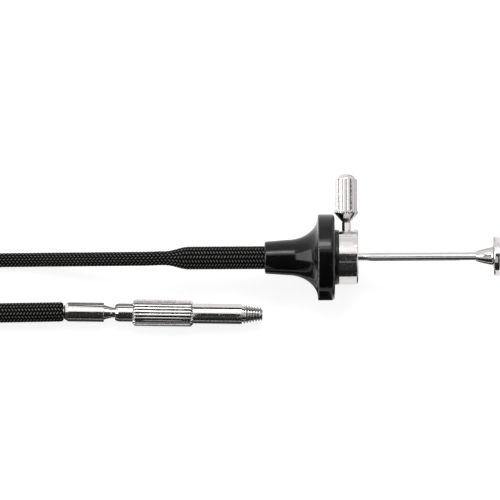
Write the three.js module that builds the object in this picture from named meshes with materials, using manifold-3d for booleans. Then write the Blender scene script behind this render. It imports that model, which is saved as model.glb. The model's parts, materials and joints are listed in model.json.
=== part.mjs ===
// Cable shutter release: a flanged handle with a sprung thumb plunger and a locking screw,
// a braided cable, and a swivelling connector with a tapered thread and a release pin.
// Millimetres, +Z up. It lies on a table at z = 0, the handle's axis along X, thumb disc at +X.
// Stations along the handle count from the flange's front face, towards the thumb disc.
// Stations along the connector count from its nose, and are negative inside it.
import * as THREE from 'three';
import { mergeVertices } from 'three/addons/utils/BufferGeometryUtils.js';
import Module from 'manifold-3d';

const wasm = await Module();
wasm.setup();

// Sides of turned pieces, from the widest to wire
const wideSides = 40;
const middleSides = 28;
const smallSides = 20;
const wireSides = 12;

// Clearances
const runningClearance = 0.05; // round a piece that slides or turns in a bore, on each side
const fittedClearance = 0.05; // round a piece that is pushed in and stays, on each side
const looseClearance = 0.1; // round the wire, the pin and what a braid sheath covers, on each side
const seatGap = 0.03; // between two faces that seat on each other
const cordGap = 0.3; // between the cord's stretches, face to face
const cutOverrun = 1; // how far a cutting shape runs past what it cuts

// Rod, barrel tube and piston
const rodDiameter = 1.4;
const stroke = 18;
const barrelDiameter = 3;
const barrelWall = 0.45;
const pistonLength = 1.75;
const pistonWeb = 0.15; // between the rod's cup and the wire's socket
const wireDiameter = 0.8;
const wireSocketDepth = 0.45;

// Return spring and its seat
const springSeatThickness = 0.6;
const springWire = 0.2;
const springClearance = 0.12; // between the coils and the barrel, on each side
const springShutLength = 3.62; // when the plunger is home
const springCurls = 15;
const springCurlSteps = 8;
const springWireSides = 5;

// Handle, from the front
const flangeDiameter = 15.05;
const flangeThickness = 2.95;
const flangeFrontRound = 0.6;
const flangeRearBevel = 0.22;
const flangeLip = 0.1; // the step between the flare's end and the flange's bevel
const flareLength = 5.3;
const neckLength = 4;
const neckGrowth = 0.55; // how much wider the neck is in front than behind
const neckWall = 0.48;
const neckRearRound = 0.3;
const neckBoreDepth = 2.45;
const bushBoreDepth = 2.4;
const bushDiameter = 4.6;

// Washer and locking collar, in front of the flange
const collarDiameter = 9.57;
const washerThickness = 0.57;
const collarLength = 3.43;
const collarFrontRound = 0.4;
const collarFrontSlope = 0.9; // how far in the rounded front edge reaches
const collarRearChamfer = 0.12;
const spigotDiameter = 3;
const spigotLength = 0.85;

// Thumb button
const homeClearance = 2.65; // between the collar and the hub when the plunger is home
const hubLength = 2.99;
const hubWall = 0.18; // at the hub's thin rear end
const hubMiddleDiameter = 2.65;
const hubFrontDiameter = 3.15;
const hubFlareDiameter = 4.1;
const hubFlareLength = 0.45;
const hubBoreDepth = 2.35;
const discDiameter = 6.9;
const discThickness = 1.12;
const discEdgeRound = 0.25;
const rivetDiameter = 1.5;
const rivetLength = 0.5;

// Locking screw and its pad
const lockStation = 2.05;
const lockStemDiameter = 1.5;
const lockPitch = 0.35;
const lockTurns = 1.25; // from the photographed, loose position until the pad grips the rod
const padThickness = 0.5;
const padClearance = 0.03; // left between the pad and the rod when the screw is tight
const lockRimClearance = 0.215; // from the flange's edge up to the screw's rim
const lockConeHeight = 1.58;
const lockRimDiameter = 4.24;
const lockRimThickness = 0.28;
const lockHeadLength = 6.86;
const lockHeadDiameter = 3.9;
const lockDomeHeight = 0.95;
const lockDomeDiameter = 3.1;
const fluteCount = 16;
const fluteDiameter = 0.36;
const fluteDepth = 0.13;
const fluteSides = 8;
const fluteRise = 0.35; // from the rim to where the flutes start
const fluteTurn = THREE.MathUtils.degToRad(7.5); // the first flute from the top, towards the disc
const saddleDiameter = 3.2;
const saddleDepth = 0.87;

// Braid sheath at the handle and its clamp ring
const cordDiameter = 2.5;
const braidThickness = 0.375;
const handleSheathTaper = 3.15;
const clampWall = 0.22;

// Connector: its place, then its pieces from the nose back
const noseStation = -12.66;
const connectorOffset = -9.94; // the nose from the handle's axis, in Y
const connectorTurn = THREE.MathUtils.degToRad(-1.05);
const noseDiameter = 2;
const noseBoreLength = 1.2;
const threadDiameter = 3.5;
const threadLength = 3.42;
const reliefDepth = 0.15;
const reliefLength = 0.16;
const shankLength = 8.6;
const shankChamfer = 0.15;
const shankInset = 1.85; // how far the shank reaches into the sleeve
const sleeveWall = 0.57; // round the shank, ridges included
const sleeveLength = 10.57;
const sleeveChamfer = 0.4;
const ridgeCount = 24;
const ridgeDepth = 0.3;
const nippleMiddleDiameter = 2.8;
const socketInset = 3.3; // how far the swivel socket reaches into the sleeve
const socketDiameter = 3.15;
const socketWall = 0.325;
const socketLength = 3.1; // the stretch that shows behind the sleeve
const socketShoulderLength = 0.95;
const socketMouthDiameter = 2.35;
const socketLip = 0.62;
const beadLength = 1;
const swivelNeckDiameter = 1.75;
const swivelNeckShowing = 0.52;
const neckConeLength = 1.45;
const neckConeDiameter = 2.5;
const stemPlugDiameter = 2.4;
const stemPlugLength = 1.85;
const ferruleDiameter = 3.35;
const ferruleLength = 6.74;
const ferruleRearChamfer = 0.75;
const ferruleRearDiameter = 2.5;
const ferruleFrontRound = 0.12;
const linerDiameter = 1.9;
const linerLength = 16.5;

// Release pin, its crimp and the wire's end
const pinDiameter = 1.1;
const pinRecess = 0.25; // the pin's tip lies this far inside the nose
const pinTipRound = 0.3;
const crimpWall = 0.2;
const crimpLength = 2.4;
const crimpToTail = 0.5; // from the nipple's tail to the crimp's rear end
const tipWireLength = 21.6;

// Braid sheath at the connector, which leans a little from the connector's line
const sheathPlay = 0.4; // round the liner, because the sheath leans
const connectorSheathLength = 13.45;
const connectorSheathTaper = 2.6;
const connectorSheathRound = 0.7;
const connectorSheathLip = 0.1;
const connectorSheathGap = 0.2;
const connectorSheathTurn = THREE.MathUtils.degToRad(1.65);

// Cord: what the photographed stretches leave over is wound in a two-layer coil
const cordSides = 8;
const cordStepDiameters = 2;
const coilCentre = [-86.33, -1.65];
const coilInnerRadius = 11.3;
const coilSpacing = 0.45; // between the coil's turns
const coilEntry = THREE.MathUtils.degToRad(27.8);
const coilExit = THREE.MathUtils.degToRad(-43.3);
const coilWholeTurns = 4;
const coilClimbTurns = 0.5; // the part of a turn in which it climbs to the upper layer
const coilStepsPerTurn = 24;
const coilSides = 6;

// Routes of the cord's free stretches, by hand: x and y from the flange's front face and the
// handle's axis, z from the table
const upperRoute = [
  [-33, -0.07, 7.42],
  [-36, -0.08, 6.92],
  [-39, -0.1, 6.11],
  [-42, -0.11, 5.11],
  [-45, -0.12, 4.03],
  [-48, -0.13, 2.99],
  [-51, -0.14, 2.1],
  [-54, -0.16, 1.48],
  [-57, -0.17, 1.26],
  [-60, -0.18, 1.25],
  [-62.92, 0.02, 1.25],
  [-65.01, 0.6, 1.25],
  [-66.96, 1.55, 1.25],
  [-68.71, 2.83, 1.25],
];
const lowerRoute = [
  [-71.4, -11.1, 4.1],
  [-69.15, -10.11, 3.6],
  [-67.25, -9.64, 2.95],
  [-65.4, -9.49, 2.45],
];

// Bores and diameters that follow from what they hold
const rodBore = rodDiameter + 2 * runningClearance;
const rodSocket = rodDiameter + 2 * fittedClearance;
const wireBore = wireDiameter + 2 * looseClearance;
const wireSocket = wireDiameter + 2 * fittedClearance;
const barrelBore = barrelDiameter - 2 * barrelWall;
const sheathBore = barrelDiameter + 2 * looseClearance;
const handleSheathDiameter = sheathBore + 2 * braidThickness;
const clampBore = handleSheathDiameter + 2 * looseClearance;
const clampDiameter = clampBore + 2 * clampWall;
const neckBoreDiameter = clampDiameter + 2 * fittedClearance;
const neckRearDiameter = neckBoreDiameter + 2 * neckWall;
const flareDiameter = flangeDiameter - 2 * (flangeRearBevel + flangeLip);
const spigotHole = spigotDiameter + 2 * fittedClearance;
const lockBore = lockStemDiameter + 2 * runningClearance;
const sleeveDiameter = threadDiameter + 2 * sleeveWall;
const socketBore = socketDiameter - 2 * socketWall;
const crimpDiameter = pinDiameter + 2 * (fittedClearance + crimpWall);
const crimpBore = crimpDiameter + 2 * runningClearance;
const connectorSheathBore = linerDiameter + 2 * sheathPlay;
const connectorSheathDiameter = connectorSheathBore + 2 * braidThickness;

// Stations along the handle
const handleRear = -(neckLength + flareLength + flangeThickness);
const collarRear = washerThickness + 2 * seatGap;
const collarFront = collarRear + collarLength;
const barrelFront = -bushBoreDepth - seatGap;
const pistonFront = barrelFront - seatGap;
const pistonRear = pistonFront - pistonLength;
const seatFront = pistonRear - stroke - springShutLength;
const barrelRear = seatFront - springSeatThickness;
const hubRear = collarFront + stroke + homeClearance;
const rodFront = hubRear + hubBoreDepth - seatGap;
const discRear = hubRear + hubLength + seatGap;
const discFront = discRear + discThickness;
const handleSheathFront = handleRear + neckBoreDepth - seatGap;
const handleSheathShoulder = barrelRear - looseClearance;
const handleSheathRear = handleSheathShoulder - handleSheathTaper;

// Heights of the locking screw over the handle's axis
const lockTravel = lockPitch * lockTurns;
const padBottom = rodDiameter / 2 + padClearance + lockTravel;
const stemBottom = padBottom + padThickness + seatGap;
const lockRimHeight = flangeDiameter / 2 + lockRimClearance;
const lockTop = lockRimHeight + lockHeadLength;

// Stations along the connector
const shankFront = -threadLength - reliefLength;
const sleeveFront = shankFront - shankLength;
const sleeveRear = sleeveFront - sleeveLength;
const socketFront = sleeveRear + socketInset;
const socketRear = sleeveRear - socketLength;
const beadRear = socketRear + socketLip + seatGap;
const nippleTail = beadRear + beadLength + seatGap;
const swivelNeckRear = socketRear - swivelNeckShowing;
const ferruleFront = swivelNeckRear - neckConeLength;
const ferruleRear = ferruleFront - ferruleLength;
const stemRear = ferruleFront - stemPlugLength;
const linerFront = stemRear - seatGap;
const linerRear = linerFront - linerLength;
const crimpRear = nippleTail + crimpToTail;
const crimpStep = crimpRear + crimpLength / 2;
const crimpFront = crimpRear + crimpLength;
const tipWireFront = crimpStep - seatGap;
const connectorSheathFront = ferruleRear - connectorSheathGap;

const coilPitch = cordDiameter + coilSpacing;
const coilTurns = coilWholeTurns - (coilEntry - coilExit) / (2 * Math.PI);

// The origin is the middle of the handle's bounding box, on the table
const centreX = (barrelRear + discFront) / 2;
const centreY = (lockTop - flangeDiameter / 2) / 2;
const handleHeight = flangeDiameter / 2;
const connectorHeight = sleeveDiameter / 2;

// Finishes
const finishes = {
  blackPlastic: { color: 0x0b0b0c, roughness: 0.12, metalness: 0 },
  chrome: { color: 0xd9dadc, roughness: 0.1, metalness: 1 },
  steel: { color: 0xb4b6b9, roughness: 0.28, metalness: 1 },
  brass: { color: 0xb08d4a, roughness: 0.3, metalness: 1 },
  blackWasher: { color: 0x101011, roughness: 0.35, metalness: 0.2 },
  braid: { color: 0x131313, roughness: 0.75, metalness: 0 },
};

function piece(name, geometry, finish) {
  const mesh = new THREE.Mesh(geometry, new THREE.MeshStandardMaterial(finishes[finish]));
  mesh.name = name;
  return mesh;
}

// A point of a turned outline: a diameter at a station along the axis
const at = (diameter, station) => new THREE.Vector2(diameter / 2, station);

// A quarter ellipse between two points of an outline: it leaves the first along the axis and
// reaches the second square to it, or the other way round
function quarter(start, end, leavesAlong, steps) {
  const centre = leavesAlong ? new THREE.Vector2(end.x, start.y) : new THREE.Vector2(start.x, end.y);
  const arc = [];
  for (let k = 0; k <= steps; k++) {
    const angle = (Math.PI / 2) * (k / steps);
    const fromStart = Math.cos(angle);
    const fromEnd = Math.sin(angle);
    arc.push(new THREE.Vector2(
      centre.x + (start.x - centre.x) * fromStart + (end.x - centre.x) * fromEnd,
      centre.y + (start.y - centre.y) * fromStart + (end.y - centre.y) * fromEnd,
    ));
  }
  return arc;
}

// Revolves an outline about Y; one that is off the axis closes on itself
function revolved(outline, sides) {
  const points = THREE.ShapeUtils.area(outline) > 0 ? outline : [...outline].reverse();
  const first = points[0];
  const open = first.x === 0 && points[points.length - 1].x === 0;
  return new THREE.LatheGeometry(open ? points : [...points, first.clone()], sides);
}

// The same about X, which is how the handle and the connector lie
const turned = (outline, sides) => revolved(outline, sides).rotateZ(-Math.PI / 2);

// A plain ring or tube about X
function ring(outer, bore, rear, front, sides) {
  return turned([at(bore, rear), at(outer, rear), at(outer, front), at(bore, front)], sides);
}

// A plain pin about X
function rod(diameter, rear, front, sides) {
  return turned([at(0, rear), at(diameter, rear), at(diameter, front), at(0, front)], sides);
}

function toSolid(geometry) {
  const bare = new THREE.BufferGeometry();
  bare.setAttribute('position', geometry.getAttribute('position'));
  bare.setIndex(geometry.index);
  const merged = mergeVertices(bare);
  const corners = merged.index.array;
  const triangles = [];
  for (let k = 0; k < corners.length; k += 3) {
    const [a, b, c] = corners.slice(k, k + 3);
    if (a !== b && b !== c && c !== a) triangles.push(a, b, c);
  }
  return new wasm.Manifold(new wasm.Mesh({
    numProp: 3,
    vertProperties: new Float32Array(merged.attributes.position.array),
    triVerts: new Uint32Array(triangles),
  }));
}

function toGeometry(solid) {
  const mesh = solid.getMesh();
  const geometry = new THREE.BufferGeometry();
  geometry.setAttribute('position', new THREE.BufferAttribute(new Float32Array(mesh.vertProperties), 3));
  geometry.setIndex(new THREE.BufferAttribute(new Uint32Array(mesh.triVerts), 1));
  return geometry.toNonIndexed();
}

function cut(geometry, ...cutters) {
  let solid = toSolid(geometry);
  for (const cutter of cutters) solid = solid.subtract(toSolid(cutter));
  return toGeometry(solid);
}

// Handle: a slim neck that flares out, as a hollow quarter ellipse, into the finger flange
function makeHandle() {
  const neckRearBottom = at(neckRearDiameter - 2 * neckRearRound, handleRear);
  const neckRearTop = at(neckRearDiameter, handleRear + neckRearRound);
  const flareStart = at(neckRearDiameter + neckGrowth, handleRear + neckLength);
  const flareEnd = at(flareDiameter, -flangeThickness);
  const rimStart = at(flangeDiameter, -flangeFrontRound);
  const rimEnd = at(flangeDiameter - 2 * flangeFrontRound, 0);
  const barrelHole = barrelDiameter + 2 * fittedClearance;
  const bushHole = bushDiameter + 2 * fittedClearance;
  return turned([
    at(neckBoreDiameter, handleRear),
    ...quarter(neckRearBottom, neckRearTop, false, 2),
    ...quarter(flareStart, flareEnd, true, 9),
    at(flangeDiameter - 2 * flangeRearBevel, -flangeThickness),
    at(flangeDiameter, flangeRearBevel - flangeThickness),
    ...quarter(rimStart, rimEnd, true, 4),
    at(bushHole, 0),
    at(bushHole, -bushBoreDepth),
    at(barrelHole, -bushBoreDepth),
    at(barrelHole, handleRear + neckBoreDepth),
    at(neckBoreDiameter, handleRear + neckBoreDepth),
  ], wideSides);
}

// Brass bush: the rod's guide, with a wider mouth that takes the collar's spigot
function makeFrontBush() {
  const mouthDepth = spigotLength + seatGap;
  return turned([
    at(rodBore, seatGap - bushBoreDepth),
    at(bushDiameter, seatGap - bushBoreDepth),
    at(bushDiameter, -seatGap),
    at(spigotHole, -seatGap),
    at(spigotHole, -mouthDepth),
    at(rodBore, -mouthDepth),
  ], middleSides);
}

const makeWasher = () => ring(collarDiameter, spigotHole, seatGap, seatGap + washerThickness, wideSides);

// Locking collar: a turned ring with a spigot behind it, drilled from above for the screw,
// the hole's mouth opened out into a saddle
function makeCollar() {
  const roundStart = at(collarDiameter, collarFront - collarFrontRound);
  const roundEnd = at(collarDiameter - 2 * collarFrontSlope, collarFront);
  const blank = turned([
    at(rodBore, -spigotLength),
    at(spigotDiameter, -spigotLength),
    at(spigotDiameter, collarRear),
    at(collarDiameter - 2 * collarRearChamfer, collarRear),
    at(collarDiameter, collarRear + collarRearChamfer),
    ...quarter(roundStart, roundEnd, true, 3),
    at(rodBore, collarFront),
  ], wideSides);
  const collarRadius = collarDiameter / 2;
  const hole = revolved([
    at(0, 0),
    at(lockBore, 0),
    at(lockBore, collarRadius - saddleDepth),
    at(saddleDiameter, collarRadius),
    at(saddleDiameter, collarRadius + cutOverrun),
    at(0, collarRadius + cutOverrun),
  ], smallSides).translate(lockStation, 0, 0);
  return cut(blank, hole);
}

const makeBarrel = () => ring(barrelDiameter, barrelBore, barrelRear, barrelFront, smallSides);

// The spring's rear seat, a ring in the barrel's end with a hole for the wire
function makeSpringSeat() {
  return ring(barrelBore - 2 * fittedClearance, wireBore, barrelRear, seatFront, smallSides);
}

// The piston: a cup on the rod's rear end, with a socket behind for the wire
function makePiston() {
  const pistonDiameter = barrelBore - 2 * runningClearance;
  const cupBottom = pistonRear + wireSocketDepth + pistonWeb;
  return turned([
    at(0, pistonRear + wireSocketDepth),
    at(wireSocket, pistonRear + wireSocketDepth),
    at(wireSocket, pistonRear),
    at(pistonDiameter, pistonRear),
    at(pistonDiameter, pistonFront),
    at(rodSocket, pistonFront),
    at(rodSocket, cupBottom),
    at(0, cupBottom),
  ], smallSides);
}

function makePlungerRod() {
  return rod(rodDiameter, pistonRear + wireSocketDepth + pistonWeb + seatGap, rodFront, smallSides);
}

// The button's hub: a bell that opens towards the disc, with a rivet in front
function makeHub() {
  const hubFront = hubRear + hubLength;
  return turned([
    at(rodSocket, hubRear),
    at(rodSocket + 2 * hubWall, hubRear),
    at(hubMiddleDiameter, hubRear + hubLength / 2),
    at(hubFrontDiameter, hubFront - hubFlareLength),
    at(hubFlareDiameter, hubFront),
    at(rivetDiameter, hubFront),
    at(rivetDiameter, hubFront + rivetLength),
    at(0, hubFront + rivetLength),
    at(0, hubRear + hubBoreDepth),
    at(rodSocket, hubRear + hubBoreDepth),
  ], middleSides);
}

// The thumb disc, flat in front, with a blind hole for the rivet
function makeDisc() {
  const hole = rivetDiameter + 2 * fittedClearance;
  const flatDiameter = discDiameter - 2 * discEdgeRound;
  return turned([
    at(hole, discRear),
    ...quarter(at(flatDiameter, discRear), at(discDiameter, discRear + discEdgeRound), false, 2),
    ...quarter(at(discDiameter, discFront - discEdgeRound), at(flatDiameter, discFront), true, 2),
    at(0, discFront),
    at(0, discRear + rivetLength + seatGap),
    at(hole, discRear + rivetLength + seatGap),
  ], wideSides);
}

function makeHandleWire() {
  return rod(wireDiameter, barrelRear, pistonRear + wireSocketDepth - seatGap, wireSides);
}

// An unbroken round tube along a path: rings square to the path, closed by flat ends
function windTube(path, up, radius, sides) {
  const positions = [];
  const count = path.length;
  for (let k = 0; k < count; k++) {
    const ahead = path[Math.min(k + 1, count - 1)];
    const behind = path[Math.max(k - 1, 0)];
    const along = ahead.clone().sub(behind).normalize();
    const across = up.clone().cross(along).normalize();
    const over = along.clone().cross(across);
    for (let s = 0; s < sides; s++) {
      const angle = (2 * Math.PI * s) / sides;
      const corner = path[k].clone()
        .addScaledVector(over, radius * Math.cos(angle))
        .addScaledVector(across, radius * Math.sin(angle));
      positions.push(corner.x, corner.y, corner.z);
    }
  }
  const index = [];
  for (let k = 0; k + 1 < count; k++) {
    for (let s = 0; s < sides; s++) {
      const next = (s + 1) % sides;
      const a = k * sides + s;
      const b = k * sides + next;
      index.push(a, a + sides, b + sides, a, b + sides, b);
    }
  }
  const last = (count - 1) * sides;
  for (let s = 1; s + 1 < sides; s++) {
    index.push(0, s, s + 1);
    index.push(last, last + s + 1, last + s);
  }
  const geometry = new THREE.BufferGeometry();
  geometry.setAttribute('position', new THREE.Float32BufferAttribute(positions, 3));
  geometry.setIndex(index);
  return geometry;
}

// The least gap between a wound tube's turns, measured on its points: neighbours along the
// path are left out up to half a turn
function leastGap(path, diameter, stepsPerTurn) {
  let least = Infinity;
  for (let a = 0; a < path.length; a++) {
    for (let b = a + stepsPerTurn / 2; b < path.length; b++) {
      least = Math.min(least, path[a].distanceTo(path[b]));
    }
  }
  return least - diameter;
}

// Return spring: a helix about X from its seat to the piston
function springPath() {
  const radius = (barrelBore - springWire) / 2 - springClearance;
  const start = seatFront + springWire / 2 + seatGap;
  const end = pistonRear - springWire / 2 - seatGap;
  const steps = springCurls * springCurlSteps;
  const path = [];
  for (let k = 0; k <= steps; k++) {
    const angle = (2 * Math.PI * k) / springCurlSteps;
    const station = start + (end - start) * (k / steps);
    path.push(new THREE.Vector3(station, radius * Math.cos(angle), radius * Math.sin(angle)));
  }
  return path;
}

function makeSpring() {
  const path = springPath();
  const gap = leastGap(path, springWire, springCurlSteps);
  console.log(`return_spring: least gap to itself ${gap.toFixed(3)} mm`);
  return windTube(path, new THREE.Vector3(1, 0, 0), springWire / 2, springWireSides);
}

// Clamp ring, inside the neck, that holds the end of the braid
function makeBraidClamp() {
  const front = handleRear + neckBoreDepth - seatGap;
  return ring(clampDiameter, clampBore, handleRear + neckRearRound, front, middleSides);
}

// Braid sheath over the barrel, drawn in to the cord behind it
function makeHandleSheath() {
  return turned([
    at(sheathBore, handleSheathFront),
    at(handleSheathDiameter, handleSheathFront),
    at(handleSheathDiameter, handleSheathShoulder),
    at(cordDiameter, handleSheathRear),
    at(0, handleSheathRear),
    at(0, handleSheathShoulder),
    at(sheathBore, handleSheathShoulder),
  ], smallSides);
}

// The pad under the locking screw, which slides but doesn't turn
function makeLockPad() {
  const padTop = padBottom + padThickness;
  return revolved([
    at(0, padBottom),
    at(lockStemDiameter, padBottom),
    at(lockStemDiameter, padTop),
    at(0, padTop),
  ], smallSides).translate(lockStation, 0, 0);
}

// Locking screw: stem, cone, rim and a domed head with flutes round it
function makeLockScrew() {
  const blank = revolved([
    at(0, stemBottom),
    at(lockStemDiameter, stemBottom),
    at(lockStemDiameter, lockRimHeight - lockConeHeight),
    at(lockRimDiameter, lockRimHeight),
    at(lockRimDiameter, lockRimHeight + lockRimThickness),
    at(lockHeadDiameter, lockRimHeight + 2 * lockRimThickness),
    at(lockHeadDiameter, lockTop - lockDomeHeight),
    ...quarter(at(lockDomeDiameter, lockTop - lockDomeHeight), at(0, lockTop), true, 4),
  ], 2 * fluteCount);
  const flutes = [];
  const bottom = lockRimHeight + fluteRise;
  const height = lockTop - bottom + cutOverrun;
  const circle = (lockHeadDiameter + fluteDiameter) / 2 - fluteDepth;
  for (let k = 0; k < fluteCount; k++) {
    const angle = fluteTurn + (2 * Math.PI * k) / fluteCount;
    const flute = new THREE.CylinderGeometry(fluteDiameter / 2, fluteDiameter / 2, height, fluteSides);
    flutes.push(flute.translate(circle * Math.sin(angle), bottom + height / 2, circle * Math.cos(angle)));
  }
  return cut(blank, ...flutes).translate(lockStation, 0, 0);
}

// Threaded nipple: the tapered thread's cone, a relief, the shank that shows, and a tail
// that runs through the sleeve into the swivel socket; the pin's bore runs all through it
function makeNipple() {
  const shankRear = sleeveFront - shankInset;
  const middleRear = socketFront + seatGap;
  const tailDiameter = socketBore - 2 * fittedClearance;
  const reliefDiameter = threadDiameter - 2 * reliefDepth;
  const pinBore = pinDiameter + 2 * looseClearance;
  return turned([
    at(crimpBore, nippleTail),
    at(tailDiameter, nippleTail),
    at(tailDiameter, middleRear),
    at(nippleMiddleDiameter, middleRear),
    at(nippleMiddleDiameter, shankRear),
    at(threadDiameter, shankRear),
    at(threadDiameter, shankFront - shankChamfer),
    at(threadDiameter - 2 * shankChamfer, shankFront),
    at(reliefDiameter, shankFront),
    at(reliefDiameter, shankFront + reliefLength),
    at(threadDiameter, shankFront + reliefLength),
    at(noseDiameter, 0),
    at(pinBore, 0),
    at(pinBore, -noseBoreLength),
    at(crimpBore, -noseBoreLength),
  ], middleSides);
}

// The knurl's outline: straight ridges with flat tops and flat grooves
function ridgeShape() {
  const crest = sleeveDiameter / 2;
  const root = crest - ridgeDepth;
  const cornerShares = [[0.08, root], [0.32, crest], [0.68, crest], [0.92, root]];
  const corners = [];
  for (let k = 0; k < ridgeCount; k++) {
    for (const [share, radius] of cornerShares) {
      const angle = (2 * Math.PI * (k + share)) / ridgeCount;
      corners.push(new THREE.Vector2(radius * Math.cos(angle), radius * Math.sin(angle)));
    }
  }
  return new THREE.Shape(corners);
}

// Knurled sleeve: ridges all along, chamfered ends, and a stepped bore over the nipple
// and the swivel socket
function makeSleeve() {
  const options = { depth: sleeveLength, steps: 1, bevelEnabled: false };
  const ridges = new THREE.ExtrudeGeometry(ridgeShape(), options)
    .rotateY(Math.PI / 2)
    .translate(sleeveRear, 0, 0);
  const endDiameter = sleeveDiameter - 2 * sleeveChamfer;
  const wide = sleeveDiameter + 2 * cutOverrun;
  const rearCorner = turned([
    at(endDiameter, sleeveRear),
    at(wide, sleeveRear - cutOverrun),
    at(wide, sleeveRear + sleeveChamfer + cutOverrun),
  ], wideSides);
  const frontCorner = turned([
    at(endDiameter, sleeveFront),
    at(wide, sleeveFront - sleeveChamfer - cutOverrun),
    at(wide, sleeveFront + cutOverrun),
  ], wideSides);
  const socketHole = socketDiameter + 2 * fittedClearance;
  const middleHole = nippleMiddleDiameter + 2 * fittedClearance;
  const shankHole = threadDiameter + 2 * fittedClearance;
  const shankRear = sleeveFront - shankInset - seatGap;
  const bore = turned([
    at(0, sleeveRear - cutOverrun),
    at(socketHole, sleeveRear - cutOverrun),
    at(socketHole, socketFront + seatGap),
    at(middleHole, socketFront + seatGap),
    at(middleHole, shankRear),
    at(shankHole, shankRear),
    at(shankHole, sleeveFront + cutOverrun),
    at(0, sleeveFront + cutOverrun),
  ], middleSides);
  return cut(ridges, rearCorner, frontCorner, bore);
}

// Swivel socket: rounded behind, with a lip that keeps the stem's bead inside it
function makeSocket() {
  const lipBore = swivelNeckDiameter + 2 * runningClearance;
  const mouth = at(socketMouthDiameter, socketRear);
  const shoulder = at(socketDiameter, socketRear + socketShoulderLength);
  return turned([
    at(lipBore, socketRear),
    ...quarter(mouth, shoulder, false, 3),
    at(socketDiameter, socketFront),
    at(socketBore, socketFront),
    at(socketBore, socketRear + socketLip),
    at(lipBore, socketRear + socketLip),
  ], middleSides);
}

// Swivel stem: a plug in the ferrule, the cone and neck that show, and the bead that turns
// in the socket; bored for the wire
function makeStem() {
  const beadDiameter = socketBore - 2 * runningClearance;
  return turned([
    at(wireBore, stemRear),
    at(stemPlugDiameter, stemRear),
    at(stemPlugDiameter, ferruleFront),
    at(neckConeDiameter, ferruleFront + seatGap),
    at(swivelNeckDiameter, swivelNeckRear),
    at(swivelNeckDiameter, beadRear),
    at(beadDiameter, beadRear),
    at(beadDiameter, beadRear + beadLength),
    at(wireBore, beadRear + beadLength),
  ], middleSides);
}

// Ferrule: chamfered behind, bored for the liner and, in front, for the stem's plug
function makeFerrule() {
  const linerHole = linerDiameter + 2 * fittedClearance;
  const stemHole = stemPlugDiameter + 2 * fittedClearance;
  const stepStation = stemRear - seatGap / 2;
  return turned([
    at(linerHole, ferruleRear),
    at(ferruleRearDiameter, ferruleRear),
    at(ferruleDiameter, ferruleRear + ferruleRearChamfer),
    at(ferruleDiameter, ferruleFront - ferruleFrontRound),
    at(ferruleDiameter - 2 * ferruleFrontRound, ferruleFront),
    at(stemHole, ferruleFront),
    at(stemHole, stepStation),
    at(linerHole, stepStation),
  ], middleSides);
}

const makeLiner = () => ring(linerDiameter, wireBore, linerRear, linerFront, smallSides);

// The release pin, its end rounded
function makePin() {
  const pinRear = crimpStep + seatGap;
  return turned([
    at(0, pinRear),
    at(pinDiameter, pinRear),
    at(pinDiameter, -pinRecess - pinTipRound),
    at(pinDiameter - 2 * pinTipRound, -pinRecess),
    at(0, -pinRecess),
  ], smallSides);
}

// The crimp that joins the wire, behind, to the pin, in front
function makeCrimp() {
  const pinHole = pinDiameter + 2 * fittedClearance;
  return turned([
    at(wireSocket, crimpRear),
    at(crimpDiameter, crimpRear),
    at(crimpDiameter, crimpFront),
    at(pinHole, crimpFront),
    at(pinHole, crimpStep),
    at(wireSocket, crimpStep),
  ], smallSides);
}

const makeTipWire = () => rod(wireDiameter, tipWireFront - tipWireLength, tipWireFront, wireSides);

// Braid sheath over the liner, round-ended at the ferrule and drawn in to the cord behind;
// stations count back from its front end
function makeConnectorSheath() {
  const boreEnd = linerRear - connectorSheathFront - looseClearance;
  const shoulder = -connectorSheathLength;
  const rear = shoulder - connectorSheathTaper;
  const lip = at(connectorSheathBore + 2 * connectorSheathLip, 0);
  return turned([
    at(connectorSheathBore, 0),
    ...quarter(lip, at(connectorSheathDiameter, -connectorSheathRound), false, 3),
    at(connectorSheathDiameter, shoulder),
    at(cordDiameter, rear),
    at(0, rear),
    at(0, boreEnd),
    at(connectorSheathBore, boreEnd),
  ], smallSides);
}

// The coil: in on the lower layer, up in the half turn where the spiral reverses, and out
// again on the upper layer, with a straight lead at each end
function coilPath() {
  const half = coilTurns / 2;
  const steps = Math.round(coilTurns * coilStepsPerTurn);
  const lower = cordDiameter / 2;
  const path = [];
  for (let k = 0; k <= steps; k++) {
    const turn = coilTurns * (k / steps);
    const angle = coilEntry + 2 * Math.PI * turn;
    const radius = coilInnerRadius + coilPitch * Math.abs(half - turn);
    const climb = THREE.MathUtils.smoothstep(turn, half - coilClimbTurns / 2, half + coilClimbTurns / 2);
    path.push(new THREE.Vector3(
      coilCentre[0] + radius * Math.cos(angle),
      coilCentre[1] + radius * Math.sin(angle),
      lower + coilPitch * climb,
    ));
  }
  const lead = (end, inner) => end.clone().sub(inner).setZ(0).setLength(cordDiameter).add(end);
  return [lead(path[0], path[1]), ...path, lead(path[steps], path[steps - 1])];
}

function makeCoil(path) {
  const gap = leastGap(path, cordDiameter, coilStepsPerTurn);
  console.log(`cord_coil: least gap to itself ${gap.toFixed(3)} mm`);
  return windTube(path, new THREE.Vector3(0, 0, 1), cordDiameter / 2, coilSides);
}

// A free stretch of cord: its section drawn along the route
function makeStretch(points) {
  const corners = [];
  for (let s = 0; s < cordSides; s++) {
    const angle = (2 * Math.PI * s) / cordSides;
    corners.push(new THREE.Vector2(Math.cos(angle), Math.sin(angle)).multiplyScalar(cordDiameter / 2));
  }
  const route = new THREE.CatmullRomCurve3(points, false, 'centripetal');
  const steps = Math.ceil(route.getLength() / (cordStepDiameters * cordDiameter));
  const options = { steps, extrudePath: route, bevelEnabled: false };
  return new THREE.ExtrudeGeometry(new THREE.Shape(corners), options);
}

const toVector = (point) => new THREE.Vector3(...point);

// A point that continues a route past its end, by a distance
function pastEnd(end, inner, distance) {
  return end.clone().sub(inner).setLength(distance).add(end);
}

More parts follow.
